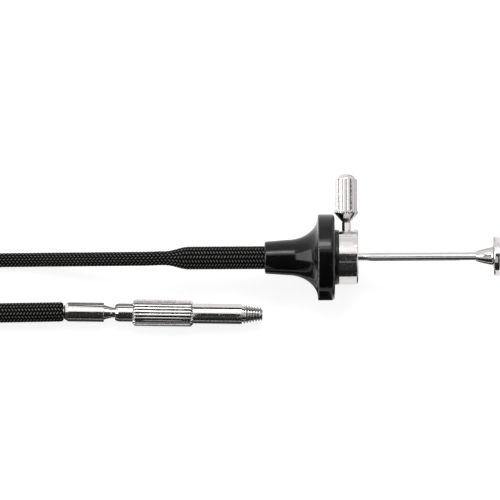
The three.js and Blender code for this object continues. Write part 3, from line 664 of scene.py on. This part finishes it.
def turnPiece(name, line, outline, steps=96, mergeReach=0.0004):
    closed = outline if outline[0][0] == 0 and outline[-1][0] == 0 else [*outline, outline[0]]
    points = [placeOn(line, radius, station) for radius, station in closed]
    selectOnly()
    bpy.ops.mesh.primitive_plane_add(size=mm, location=points[0])
    piece = bpy.context.object
    piece.name = piece.data.name = name
    bpy.ops.object.transform_apply(location=True, rotation=True, scale=True)
    bpy.ops.object.mode_set(mode="EDIT")
    bpy.ops.mesh.select_mode(type="VERT")
    bpy.ops.mesh.merge(type="CENTER")
    for near, far in zip(points, points[1:]):
        bpy.ops.mesh.extrude_region_move(TRANSFORM_OT_translate={"value": far - near})
    bpy.ops.mesh.select_all(action="SELECT")
    bpy.ops.mesh.spin(steps=steps, angle=math.tau, center=line[0], axis=line[1])
    bpy.ops.mesh.select_all(action="SELECT")
    bpy.ops.mesh.remove_doubles(threshold=mergeReach * mm)
    bpy.ops.mesh.normals_make_consistent(inside=False)
    bpy.ops.object.mode_set(mode="OBJECT")
    return piece


def applyModifier(piece, name, kind, **settings):
    selectOnly(piece)
    modifier = piece.modifiers.new(name, kind)
    for label, value in settings.items():
        setattr(modifier, label, value)
    bpy.ops.object.modifier_apply(modifier=modifier.name)


def smoothPiece(piece, angle=35, bevel=0, segments=2, bevelFrom=30, longFaces=True):  # angles in degrees
    if bevel:
        applyModifier(
            piece, "broken edges", "BEVEL", width=bevel * mm, segments=segments,
            limit_method="ANGLE", angle_limit=math.radians(bevelFrom),
        )
    selectOnly(piece)
    bpy.ops.object.shade_smooth_by_angle(angle=math.radians(angle))
    if longFaces:
        applyModifier(piece, "long faces stay flat", "WEIGHTED_NORMAL", keep_sharp=True)
    return piece


def markPoints(piece, name, amounts):  # amounts by point index
    layer = piece.data.attributes.new(name, "FLOAT", "POINT")
    for index, amount in amounts.items():
        layer.data[index].value = amount


def onLine(line, point):
    # station along the line, distance from it and angle about it, from straight up
    origin, along = line
    offset = point - origin
    station = offset.dot(along)
    side = offset - along * station
    across = along.cross(Vector((0, 0, 1)))
    return station / mm, side.length / mm, math.atan2(side.dot(across), side.z)


def toGroove(column, columns):  # how many columns it is to the nearest groove
    return abs((column + columns // 2) % columns - columns // 2)


def drawIn(vertex, line, share):  # moves a point towards the line, to that share of its distance
    origin, along = line
    offset = vertex.co - origin
    straight = along * offset.dot(along)
    vertex.co = origin + straight + (offset - straight) * share


handle = {
    "boreRadius": 2.345, "neckRadius": 2.825, "neckFrontRadius": 3.1, "rearRound": 0.3,
    "neckLength": 4.0, "flareLength": 5.3, "flareRadius": 7.205,
    "flangeRadius": 7.525, "flangeThickness": 2.95, "frontRound": 0.6, "rearBevel": 0.22,
    "bushRadius": 2.35, "bushDepth": 2.4, "barrelRadius": 1.55, "neckBoreDepth": 2.45,
    # where the painted highlight with some wear lies, as shares of a rounding across and along, and how
    # much
    "rearWornShare": 0.8, "frontWornShares": (0.5, 0.75), "neckWornShares": (0.6, 0.7),
    "cleanRim": 0.03, "rearWear": 1.0, "otherWear": 0.35,
}


def makeHandle(v):
    flangeRear = -v.flangeThickness
    flareStart = flangeRear - v.flareLength
    rear = flareStart - v.neckLength
    rimInside = v.flangeRadius - v.rearBevel
    piece = turnPiece("moulded_handle", handleLine, [
        (v.boreRadius, rear),
        *quarterArc((v.neckRadius - v.rearRound, rear), (v.neckRadius, rear + v.rearRound), False, steps=6),
        *quarterArc((v.neckFrontRadius, flareStart), (v.flareRadius, flangeRear), True, steps=28),
        *quarterArc((rimInside, flangeRear), (v.flangeRadius, flangeRear + v.rearBevel), False, steps=4),
        *quarterArc((v.flangeRadius, -v.frontRound), (v.flangeRadius - v.frontRound, 0), True, steps=10),
        (v.bushRadius, 0), (v.bushRadius, -v.bushDepth), (v.barrelRadius, -v.bushDepth),
        (v.barrelRadius, rear + v.neckBoreDepth), (v.boreRadius, rear + v.neckBoreDepth),
    ], steps=128)
    frontAcross, frontAlong = (share * v.frontRound for share in v.frontWornShares)
    neckAcross, neckAlong = (share * v.rearRound for share in v.neckWornShares)
    # painted highlight with some wear: lightest on the flange's rear bevel, less on the front round and the
    # neck's rear round
    sheenAndWear = {}
    for vertex in piece.data.vertices:
        station, radius, angle = onLine(handleLine, vertex.co)
        onRear = radius > rimInside - tolerance and station < flangeRear + v.rearBevel * v.rearWornShare
        atFront = station > -frontAlong and v.flangeRadius - frontAcross < radius
        onFront = atFront and radius < v.flangeRadius - v.cleanRim
        onNeck = radius > v.neckRadius - neckAcross and station < rear + neckAlong
        if onRear or onNeck or onFront:
            sheenAndWear[vertex.index] = v.rearWear if onRear else v.otherWear
    markPoints(piece, "wear", sheenAndWear)
    return smoothPiece(piece, angle=40, longFaces=False)


settle(makeHandle(Values(**handle)), "handle", "black_plastic", "handle")

washer = {"radius": 4.785, "bore": 1.55, "rear": 0.03, "thickness": 0.57, "edge": 0.08}


def makeWasher(v):
    front = v.rear + v.thickness
    outline = [(v.bore, v.rear), (v.radius, v.rear), (v.radius, front), (v.bore, front)]
    return smoothPiece(turnPiece("flange_ring", handleLine, outline), bevel=v.edge, segments=3)


settle(makeWasher(Values(**washer)), "handle", "black_washer", "flange_washer")

collar = {
    "radius": 4.785, "rear": 0.63, "length": 3.43, "frontRound": 0.28, "frontSlope": 0.5,
    "rearChamfer": 0.12, "spigotRadius": 1.5, "spigotLength": 0.85, "bore": 0.75,
    "screwBore": 0.8, "saddleRadius": 1.6, "saddleDepth": 0.87, "drillOverrun": 1.0,
}


def makeCollar(v):
    front, drillEnd = v.rear + v.length, v.radius + v.drillOverrun
    piece = turnPiece("locking_collar", handleLine, [
        (v.bore, -v.spigotLength), (v.spigotRadius, -v.spigotLength), (v.spigotRadius, v.rear),
        (v.radius - v.rearChamfer, v.rear), (v.radius, v.rear + v.rearChamfer),
        *quarterArc((v.radius, front - v.frontRound), (v.radius - v.frontSlope, front), True, steps=10),
        (v.bore, front),
    ], steps=128)
    drill = turnPiece("drill", screwLine, [
        (0, 0), (v.screwBore, 0), (v.screwBore, v.radius - v.saddleDepth),
        (v.saddleRadius, v.radius), (v.saddleRadius, drillEnd), (0, drillEnd),
    ], steps=64)
    applyModifier(piece, "drilled hole", "BOOLEAN", operation="DIFFERENCE", object=drill, solver="EXACT")
    bpy.data.objects.remove(drill)
    return smoothPiece(piece, angle=32)


settle(makeCollar(Values(**collar)), "handle", "chrome", "lock_collar")
print("handle, washer and collar made")

plunger = {
    "rodRadius": 0.7, "rodRear": -3.58, "rodFront": 27.03, "rodEdge": 0.06,
    "hubRear": 24.71, "hubLength": 2.99, "hubBore": 0.75, "hubRearRadius": 0.93,
    "hubRearRound": (0.1, 0.12),  # across, along
    "hubSwell": [(1.14, 0.7), (1.325, 1.45), (1.46, 2.05)],  # radius, from the hub's rear
    "hubFrontRadius": 1.575, "hubFlareRadius": 2.05, "hubFlareLength": 0.45, "hubBoreDepth": 2.35,
    "rivetRadius": 0.75, "rivetLength": 0.5, "rivetGap": 0.05, "rivetRoom": 0.03,
    "discRadius": 3.45, "discRear": 27.73, "discThickness": 1.12, "discRound": 0.25,
}


def makeRod(v):
    outline = [(0, v.rodRear), (v.rodRadius, v.rodRear), (v.rodRadius, v.rodFront), (0, v.rodFront)]
    return smoothPiece(turnPiece("plunger_bar", handleLine, outline, steps=64), bevel=v.rodEdge)


def makeHub(v):
    rear, front = v.hubRear, v.hubRear + v.hubLength
    rivetFront, boreEnd = front + v.rivetLength, rear + v.hubBoreDepth
    across, along = v.hubRearRound
    return smoothPiece(turnPiece("thumb_button_hub", handleLine, [
        (v.hubBore, rear),
        *quarterArc((v.hubRearRadius - across, rear), (v.hubRearRadius, rear + along), False, steps=3),
        *((radius, rear + station) for radius, station in v.hubSwell),
        *quarterArc((v.hubFrontRadius, front - v.hubFlareLength), (v.hubFlareRadius, front), True, steps=6),
        (v.rivetRadius, front), (v.rivetRadius, rivetFront), (0, rivetFront),
        (0, boreEnd), (v.hubBore, boreEnd),
    ]))


def makeDisc(v):
    rear, front = v.discRear, v.discRear + v.discThickness
    flat, hole = v.discRadius - v.discRound, v.rivetRadius + v.rivetGap
    bottom = rear + v.rivetLength + v.rivetRoom
    return smoothPiece(turnPiece("thumb_button_disc", handleLine, [
        (hole, rear),
        *quarterArc((flat, rear), (v.discRadius, rear + v.discRound), False, steps=6),
        *quarterArc((v.discRadius, front - v.discRound), (flat, front), True, steps=6),
        (0, front), (0, bottom), (hole, bottom),
    ], steps=128))


for makePiece, nodeName in ((makeRod, "plunger_rod"), (makeHub, "button_hub"), (makeDisc, "thumb_disc")):
    settle(makePiece(Values(**plunger)), "plunger", "chrome", nodeName)
print("plunger made")

lockScrew = {
    "stemRadius": 0.75, "stemBottom": 1.6975, "undercut": 0.07, "coneBottom": 6.16,
    "coneFootShare": 1.6, "coneShare": 0.9,
    "rim": 7.74, "rimRadius": 2.12, "rimThickness": 0.28, "rimWall": (0.03, 0.2),
    "rimLowEdge": (0.06, 0.05),  # across, along
    "rimTopEdge": 0.05, "headRadius": 1.95, "headEdge": 0.12, "top": 14.6,
    "domeRadius": 1.55, "domeHeight": 0.95, "domeFoot": (0.05, 0.02),  # across, along
    "flutes": 16, "columns": 8, "fluteTurn": 2.8, "fluteDepth": 0.13, "fluteSideShare": 0.3,
    "fluteRise": 0.35, "fluteStraight": 0.15, "fluteEnd": 0.05, "skin": 0.14,
    # painted shade with some grime: darker along the flutes, unevenly from flute to flute, in the rim's
    # notches and in the undercut
    "fluteGrime": (0.6, 1.7, 0.4), "sideGrimeLess": 0.4,
    "undercutGrime": 1.0, "undercutGrimeShares": (1.5, 0.5),
    "notchDepth": 0.13, "notchReach": 0.1, "notchColumns": 4, "notchGrime": 0.7,
}


def pullIn(piece, line, share, chosen):
    # draws chosen points towards the line, to that share of their distance from it
    origin, along = line
    selectOnly(piece)
    for part in (*piece.data.vertices, *piece.data.edges, *piece.data.polygons):
        part.select = False
    for index in chosen:
        piece.data.vertices[index].select = True
    bpy.ops.object.mode_set(mode="EDIT")
    bpy.ops.mesh.select_mode(type="VERT")
    lengthwise = tuple(abs(part) > 0.5 for part in along)
    bpy.ops.transform.resize(
        value=tuple(1.0 if keep else share for keep in lengthwise), center_override=origin,
        orient_type="GLOBAL", constraint_axis=tuple(not keep for keep in lengthwise),
    )
    bpy.ops.object.mode_set(mode="OBJECT")


def makeLockScrew(v):
    shoulder, fluteStart = v.top - v.domeHeight, v.rim + v.fluteRise
    stem, cone, cut = v.stemRadius, v.coneBottom, v.undercut
    coneFoot, coneFootRadius = cone + v.coneFootShare * cut, stem + cut
    coneTop, coneTopRadius = v.rim - v.rimLowEdge[1], v.rimRadius - v.rimLowEdge[0]
    coneShoulder = coneFoot + (coneTop - coneFoot) * v.coneShare
    outline = [
        (0, v.stemBottom), (stem, v.stemBottom), (stem, cone - 2 * cut), (stem - cut, cone - cut),
        (stem - cut, cone), (coneFootRadius, coneFoot),
        (coneFootRadius + (coneTopRadius - coneFootRadius) * v.coneShare, coneShoulder),
        (coneTopRadius, coneTop), (v.rimRadius, v.rim + v.rimWall[0]), (v.rimRadius, v.rim + v.rimWall[1]),
        (v.rimRadius - v.rimTopEdge, v.rim + v.rimThickness),
        (v.headRadius, fluteStart), (v.headRadius, fluteStart + v.fluteStraight),
        (v.headRadius, shoulder - v.headEdge), (v.headRadius - v.headEdge, shoulder),
        (v.domeRadius + v.domeFoot[0], shoulder),
        *quarterArc((v.domeRadius, shoulder + v.domeFoot[1]), (0, v.top), True, steps=12),
    ]
    piece = turnPiece("locking_screw", screwLine, outline, v.flutes * v.columns)
    step = math.tau / (v.flutes * v.columns)
    first = math.radians(v.fluteTurn) / step
    dirtBelow, dirtAbove = v.undercutGrimeShares
    # amounts of painted shade with some grime for the flutes, the notches and the undercut
    chosen, notches, grime = {0: [], 1: []}, [], {}
    for vertex in piece.data.vertices:
        station, radius, angle = onLine(screwLine, vertex.co)
        # spin starts straight up, so its columns stand at whole steps
        column = round(angle / step)
        fromFlute = toGroove(column - round(first), v.columns)
        alongHead = fluteStart + v.fluteEnd < station < shoulder + tolerance
        if alongHead and radius > v.headRadius - v.skin and fromFlute in chosen:
            chosen[fromFlute].append(vertex.index)
            flute = round((column - first) / v.columns)
            amount = v.fluteGrime[flute % len(v.fluteGrime)]
            grime[vertex.index] = amount * (1 - v.sideGrimeLess * fromFlute)
        onRim = station < v.rim + v.notchReach and radius > v.rimRadius - v.notchReach
        if onRim and column % v.notchColumns == 0:
            notches.append(vertex.index)
            grime[vertex.index] = v.notchGrime
        if cone - dirtBelow * cut < station < cone + dirtAbove * cut:
            grime[vertex.index] = v.undercutGrime
    for depth, vertices in ((v.fluteDepth, chosen[0]), (v.fluteDepth * v.fluteSideShare, chosen[1])):
        pullIn(piece, screwLine, 1 - depth / v.headRadius, vertices)
    pullIn(piece, screwLine, 1 - v.notchDepth / v.rimRadius, notches)
    markPoints(piece, "grime", grime)
    return smoothPiece(piece, angle=28)


settle(makeLockScrew(Values(**lockScrew)), "lock_screw", "chrome", "lock_screw")
print("locking screw made")

connector = {
    "noseRadius": 1.0, "threadRadius": 1.75, "threadNoseRadius": 1.2, "threadLength": 3.42,
    "noseChamfer": 0.16, "noseChamferShare": 1 / 3,  # of a pitch
    "threadPitch": 0.5, "threadDepth": 0.34, "threadRunOut": 0.3, "threadRings": 170,
    # the thread's painted shade with some grime, darkest in the roots and less down the flanks
    "grooveEdgeShare": 0.82, "grooveSlopeShare": 0.7, "threadGrime": 0.6,
    "pinBore": 0.65, "noseBoreLength": 1.2, "crimpBore": 0.85, "shankRadius": 1.75,
    "reliefRadius": 1.4, "reliefLength": 0.16, "shankLength": 8.6, "shankChamfer": 0.06, "shankInset": 1.85,
    "middleRadius": 1.4, "tailRadius": 1.2, "tail": -24.17,
    "sleeveRadius": 2.32, "sleeveLength": 10.57, "sleeveChamfer": 0.4, "sleeveEdge": (0.06, 0.08),
    "ridges": 24, "columns": 8, "ridgeDepth": 0.3, "grooveShares": (1, 0.7, 0.12), "skin": 0.2,
    # painted shade with some grime in the grooves between the ridges, by columns from the groove
    "grooveGrime": (1.3, 0.8, 0.15),
    "socketInset": 3.3, "socketRadius": 1.575, "socketLength": 3.1, "socketShoulder": 0.95,
    "socketMouth": 1.175, "socketBore": 1.25, "socketLip": 0.62,
    "neckRadius": 0.875, "neckShowing": 0.52, "neckBlend": (0.03, 0.1, 0.08),
    "coneLength": 1.45, "coneRadius": 1.25, "coneRim": 0.12,
    "beadRadius": 1.2, "beadLength": 1.0, "wireBore": 0.5, "plugRadius": 1.2, "plugLength": 1.85,
    "ferruleRadius": 1.675, "ferruleLength": 6.98, "ferruleChamfer": 0.75, "ferruleRearRadius": 1.25,
    "ferruleEdge": 0.05, "ferruleBlend": 0.03, "ferruleFrontRound": 0.12, "linerHole": 1.0,
    "pinRadius": 0.55, "pinRecess": 0.25, "pinRound": 0.3, "seat": 0.03, "clearance": 0.05,
}
shankFront = -connector["threadLength"] - connector["reliefLength"]
sleeveFront = shankFront - connector["shankLength"]
sleeveRear = sleeveFront - connector["sleeveLength"]
socketFront = sleeveRear + connector["socketInset"]
socketRear = sleeveRear - connector["socketLength"]
neckRear = socketRear - connector["neckShowing"]
ferruleFront = neckRear - connector["coneLength"]
ferruleRear = ferruleFront - connector["ferruleLength"]


def threadCrest(v, station):
    # the crest's radius, and how far the thread has risen: 0 where it starts, 1 from its first turn
    risen = min(max((station + v.threadLength) / v.threadRunOut, 0), 1)
    tapered = v.threadRadius + (v.threadNoseRadius - v.threadRadius) * (station / v.threadLength + 1)
    nose = v.noseRadius - station * v.noseChamfer / (v.threadPitch * v.noseChamferShare)
    return min(v.reliefRadius + (tapered - v.reliefRadius) * risen, nose), risen


def makeNipple(v):
    shankRear, middleRear = sleeveFront - v.shankInset, socketFront + v.seat
    stations = [-v.threadLength * (1 - k / v.threadRings) for k in range(v.threadRings + 1)]
    piece = turnPiece("threaded_nose", noseLine, [
        (v.crimpBore, v.tail), (v.tailRadius, v.tail), (v.tailRadius, middleRear),
        (v.middleRadius, middleRear), (v.middleRadius, shankRear), (v.shankRadius, shankRear),
        (v.shankRadius, shankFront - v.shankChamfer), (v.shankRadius - v.shankChamfer, shankFront),
        (v.reliefRadius, shankFront), (v.reliefRadius, shankFront + v.reliefLength),
        *((threadCrest(v, station)[0], station) for station in stations),
        (v.pinBore, 0), (v.pinBore, -v.noseBoreLength), (v.crimpBore, -v.noseBoreLength),
    ])
    grime = {}
    for vertex in piece.data.vertices:
        station, radius, angle = onLine(noseLine, vertex.co)
        crest, risen = threadCrest(v, station)
        onThread = -v.threadLength - tolerance / 2 < station < tolerance / 2
        if onThread and abs(radius - crest) < tolerance:
            turn = (station / v.threadPitch + angle / math.tau) % 1
            fromRoot = abs(2 * turn - 1)  # 0 in the root, 1 on the crest
            groove = min(max((v.grooveEdgeShare - fromRoot) / v.grooveSlopeShare, 0), 1) * risen
            # painted shade with some grime, darkest in the root
            grime[vertex.index] = v.threadGrime * groove
            drawIn(vertex, noseLine, (radius - v.threadDepth * groove) / radius)
    markPoints(piece, "grime", grime)
    return smoothPiece(piece, angle=50)


def makeSleeve(v):
    fitting = (v.socketRadius, v.middleRadius, v.shankRadius)
    socketHole, middleHole, shankHole = (inner + v.clearance for inner in fitting)
    shankRear, socketSeat = sleeveFront - v.shankInset - v.seat, socketFront + v.seat
    radius, flat = v.sleeveRadius, v.sleeveRadius - v.sleeveChamfer
    rearCorner, frontCorner = sleeveRear + v.sleeveChamfer, sleeveFront - v.sleeveChamfer
    edge, after = v.sleeveEdge
    piece = turnPiece("ridged_sleeve", noseLine, [
        (socketHole, sleeveRear), (flat, sleeveRear), (radius - edge, rearCorner - edge),
        (radius, rearCorner + after), (radius, frontCorner - after), (radius - edge, frontCorner + edge),
        (flat, sleeveFront), (shankHole, sleeveFront), (shankHole, shankRear),
        (middleHole, shankRear), (middleHole, socketSeat), (socketHole, socketSeat),
    ], v.ridges * v.columns)
    step = math.tau / (v.ridges * v.columns)
    grime = {}
    for vertex in piece.data.vertices:
        station, distance, angle = onLine(noseLine, vertex.co)
        fromGroove = toGroove(round(angle / step), v.columns)
        if distance > radius - v.skin and fromGroove < len(v.grooveShares):
            # painted shade with some grime in the grooves
            grime[vertex.index] = v.grooveGrime[fromGroove]
            drawIn(vertex, noseLine, (distance - v.ridgeDepth * v.grooveShares[fromGroove]) / distance)
    markPoints(piece, "grime", grime)
    return smoothPiece(piece)


def makeSocket(v):
    lipBore, lipFront = v.neckRadius + v.clearance, socketRear + v.socketLip
    shoulder = (v.socketRadius, socketRear + v.socketShoulder)
    return smoothPiece(turnPiece("swivel_cup", noseLine, [
        (lipBore, socketRear), *quarterArc((v.socketMouth, socketRear), shoulder, False, steps=10),
        (v.socketRadius, socketFront), (v.socketBore, socketFront),
        (v.socketBore, lipFront), (lipBore, lipFront),
    ]), angle=40)


def makeStem(v):
    bead = socketRear + v.socketLip + v.seat
    plugRear = ferruleFront - v.plugLength
    blend, blendRear, blendFront = v.neckBlend
    return smoothPiece(turnPiece("swivel_spindle", noseLine, [
        (v.wireBore, plugRear), (v.plugRadius, plugRear), (v.plugRadius, ferruleFront),
        (v.coneRadius, ferruleFront + v.seat), (v.coneRadius, ferruleFront + v.coneRim),
        (v.neckRadius + blend, neckRear - blendRear), (v.neckRadius, neckRear + blendFront),
        (v.neckRadius, bead), (v.beadRadius, bead), (v.beadRadius, bead + v.beadLength),
        (v.wireBore, bead + v.beadLength),
    ]), angle=30)


def makeFerrule(v):
    step, plugHole = ferruleFront - v.plugLength - v.seat / 2, v.plugRadius + v.clearance
    corner, edge = ferruleRear + v.ferruleChamfer, v.ferruleEdge
    frontArc = quarterArc(
        (v.ferruleRadius, ferruleFront - v.ferruleFrontRound),
        (v.ferruleRadius - v.ferruleFrontRound, ferruleFront), True, steps=4,
    )
    return smoothPiece(turnPiece("cord_ferrule", noseLine, [
        (v.linerHole, ferruleRear), (v.ferruleRearRadius - edge, ferruleRear),
        (v.ferruleRearRadius, ferruleRear + edge), (v.ferruleRadius - v.ferruleBlend, corner - edge),
        (v.ferruleRadius, corner + edge), *frontArc,
        (plugHole, ferruleFront), (plugHole, step), (v.linerHole, step),
    ]), angle=30)


def makePin(v):
    rear = (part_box("release_pin")[0].x - noseLine[0].x) / mm / noseLine[1].x
    front, radius = -v.pinRecess, v.pinRadius
    return smoothPiece(turnPiece("push_pin", noseLine, [
        (0, rear), (radius, rear),
        *quarterArc((radius, front - v.pinRound), (radius - v.pinRound, front), True, steps=5), (0, front),
    ], steps=48), angle=40)


connectorMakers = [
    (makeNipple, "threaded_connector", "chrome", "threaded_nipple"),
    (makeSleeve, "threaded_connector", "chrome", "knurled_sleeve"),
    (makeSocket, "threaded_connector", "chrome", "swivel_socket"),
    (makeStem, "handle", "chrome", "swivel_stem"),
    (makeFerrule, "handle", "chrome", "ferrule"),
    (makePin, "release_pin", "steel", "release_pin"),
]
for makePiece, bodyName, slotName, nodeName in connectorMakers:
    settle(makePiece(Values(**connector)), bodyName, slotName, nodeName)
print("connector made")

# Inner pieces stay as the frame has them, with real finishes
innerNodes = {
    "brass": ["front_bush", "spring_seat", "plunger_piston", "lock_pad", "pin_crimp"],
    "steel": [
        "barrel_tube", "return_spring", "push_wire_handle", "braid_clamp", "wire_liner", "push_wire_tip",
    ],
}
for slotName, nodeNames in innerNodes.items():
    for nodeName in nodeNames:
        nodeMaterials = frame["nodes"][nodeName].data.materials
        nodeMaterials.clear()
        nodeMaterials.append(materials[slotName])
for nodeName in ("return_spring", "push_wire_handle"):
    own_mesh(frame["nodes"][nodeName])

# Studio: a white table, a long soft light with a bright core beyond the object, a side light by
# the cord, and cards that only show in reflections
studio = {
    "middle": (-0.016, -0.003, 0),  # what the lights point at, in metres, like their places and sizes
    "floorSize": 6,
    "floorColour": (0.4, 0.4, 0.4, 1),
    "floorLift": 0.8,
    "keyDistance": 0.8,
    "keyLights": [  # degrees from straight up towards +Y, size, power
        (35.5, (0.6, 0.384), 2.1),
        (36.0, (0.5, 0.14), 1.6),
    ],
    "sideLight": ((-0.54, 0.067, 0.31), (0.78, 0.415), 2.3),
    "worldLight": 0.25,
}
cards = {  # how bright a card is, and its four corners, or two opposite ones where it is square cut
    "overhead_flag": (0.035, (-280, -900, 600), (1200, 150, 600)),
    "rear_flag": (0.02, (-1200, -900, 0), (1200, -900, 600)),
    "cord_flag": (0.03, (-1200, -140, 600), (-280, -60, 600), (-280, -900, 600), (-1200, -900, 600)),
    "cord_side_flag": (0.03, (-1000, -900, 0), (-1000, -160, 600)),
    "side_sheet": (4.2, (-800, -140, 5), (-280, 275, 600)),
    "screw_sheet": (1.2, (-7, 3.4, 17), (2.3, 12.5, 17)),
    "screw_end_sheet": (1.2, (2.9, 3.4, 17), (8.4, 12.5, 17)),
    "screw_flag": (0.02, (-5.5, 4.3, 9.7), (-5.5, 12.5, 11.1)),
    "stem_sheet": (1.2, (-1.1, 0.9, 10), (6, 2.7, 10)),
    "stem_shade": (0.05, (-1.2, 0.9, 0.02), (9, 3.6, 0.02)),
    "collar_line": (0.4, (-0.6, -15.6, 40), (3.2, -13.8, 40)),
    "collar_sheet": (1.25, (-0.8, 4, 30), (4.5, 16.7, 30)),
    "rod_sheet": (0.7, (5, -19.4, 30), (29, -4.3, 30)),
    "rod_line": (0.25, (5, 8.9, 30), (27, 16.7, 30)),
    "rod_far_shade": (0.75, (5, -2, 0.02), (26.3, 60, 0.02)),
    "connector_sheet": (1.4, (-52, -11.6, 12), (-13.6, -12.8, 12), (-13.6, -8.2, 12), (-52, -7.4, 12)),
    "ferrule_sheet": (1.3, (-50, -12.9, 0.1), (-50, -7, 9)),
    "ferrule_end_shade": (0.05, (-50, -18, 0.1), (-50, -12.9, 9)),
    "ferrule_far_shade": (0.02, (-49.5, -7.6, 0.05), (-29, -7.6, 2.5)),
    "sleeve_sheet": (1.3, (-36.6, -19, 12), (-26, -12.5, 12)),
    "thread_sheet": (1.3, (-17.3, -22, 12), (-13.6, -12.8, 12)),
    "shank_line": (0.3, (-27.4, -34, 30), (-17.4, -32, 30)),
    "nose_flag": (0.4, (-8, -20, 0.1), (-8, -9, 6)),
    "nose_shade": (0.4, (-13.8, -19, 0.03), (-8, -8, 0.03)),
    "handle_shade": (0.03, (-13.4, -62, 0.02), (-0.8, -5.7, 0.02)),
    "rod_shade": (0.03, (5, -62, 0.02), (21, -5.7, 0.02)),
    "hub_shade": (0.03, (21, -62, 0.02), (26.3, -13, 0.02)),
    "connector_shade": (0.05, (-66, -60, 0.02), (-9, -18, 0.02)),
    "shank_shade": (0.05, (-66, -18, 0.02), (-16.9, -18, 0.02), (-16.9, -13.6, 0.02), (-66, -12.7, 0.02)),
    "ferrule_shade": (
        0.02, (-49, -11.2, 0.02), (-36.6, -11.4, 0.02), (-36.6, -8.6, 0.02), (-49, -8.4, 0.02),
    ),
}


def lookedAt(tree):  # 1 where the camera sees it, in reflections too, and 0 where it lights other things
    path = addNode(tree, "LightPath").outputs
    direct = addMath(tree, "MAXIMUM", path["Is Camera Ray"], path["Is Glossy Ray"])
    return addMath(tree, "MAXIMUM", direct, path["Is Transmission Ray"])


def stageMaterial(name):
    material = bpy.data.materials.new(name)
    material.use_nodes = True
    material.node_tree.nodes.clear()
    output = material.node_tree.nodes.new("ShaderNodeOutputMaterial")
    return material, material.node_tree, output.inputs["Surface"]


def addFloor(v):
    selectOnly()
    bpy.ops.mesh.primitive_plane_add(size=v.floorSize, location=(0, 0, 0))
    floor = bpy.context.object
    floor.name = "table_top"
    material, tree, surface = stageMaterial("tableTop")
    matt = addNode(tree, "BsdfDiffuse", {"Color": v.floorColour}).outputs["BSDF"]
    strength = addMath(tree, "MULTIPLY", lookedAt(tree), v.floorLift)
    lift = addNode(tree, "Emission", {"Strength": strength}).outputs["Emission"]
    tree.links.new(addNode(tree, "AddShader", {0: matt, 1: lift}).outputs["Shader"], surface)
    floor.data.materials.append(material)


def cardCorners(low, high):  # all four, from two opposite ones
    if low[1] == high[1]:
        return [low, (high[0], low[1], low[2]), high, (low[0], low[1], high[2])]
    return [low, (low[0], high[1], low[2]), high, (high[0], low[1], high[2])]


def addCard(name, brightness, *corners):
    corners = cardCorners(*corners) if len(corners) == 2 else corners
    mesh = bpy.data.meshes.new(name)
    mesh.from_pydata([tuple(part * mm for part in corner) for corner in corners], [], [(0, 1, 2, 3)])
    card = addObject(name, mesh)
    material, tree, surface = stageMaterial(name)
    tree.links.new(addNode(tree, "Emission", {"Strength": brightness}).outputs["Emission"], surface)
    mesh.materials.append(material)
    card.visible_camera = False
    card.visible_diffuse = False
    card.visible_shadow = False
    card.visible_transmission = False


def addAreaLight(name, location, size, power, target):
    data = bpy.data.lights.new(name, "AREA")
    data.shape = "RECTANGLE"
    data.size, data.size_y = size
    data.energy = power
    light = addObject(name, data)
    light.location = location
    light.rotation_euler = (target - location).to_track_quat("-Z", "Y").to_euler()
    light.visible_camera = False
    return light


def addLights(v):
    middle = Vector(v.middle)
    for angle, size, power in v.keyLights:
        turn = math.radians(angle)
        place = middle + Vector((0, math.sin(turn), math.cos(turn))) * v.keyDistance
        addAreaLight(f"key_light_{angle:.0f}", place, size, power, middle)
    place, size, power = v.sideLight
    addAreaLight("side_light", middle + Vector(place), size, power, middle).visible_glossy = False


def addWorld(v):
    world = bpy.data.worlds.new("studio")
    bpy.context.scene.world = world
    world.use_nodes = True
    tree = world.node_tree
    background = tree.nodes["Background"].inputs
    background["Color"].default_value = (1, 1, 1, 1)
    strength = addRange(tree, lookedAt(tree), (0.0, 1.0), (v.worldLight, 1.0))
    tree.links.new(strength, background["Strength"])


addFloor(Values(**studio))
addLights(Values(**studio))
for cardName, cardValues in cards.items():
    addCard(cardName, *cardValues)
addWorld(Values(**studio))
bpy.context.scene.view_settings.view_transform = "Standard"
print("studio set")
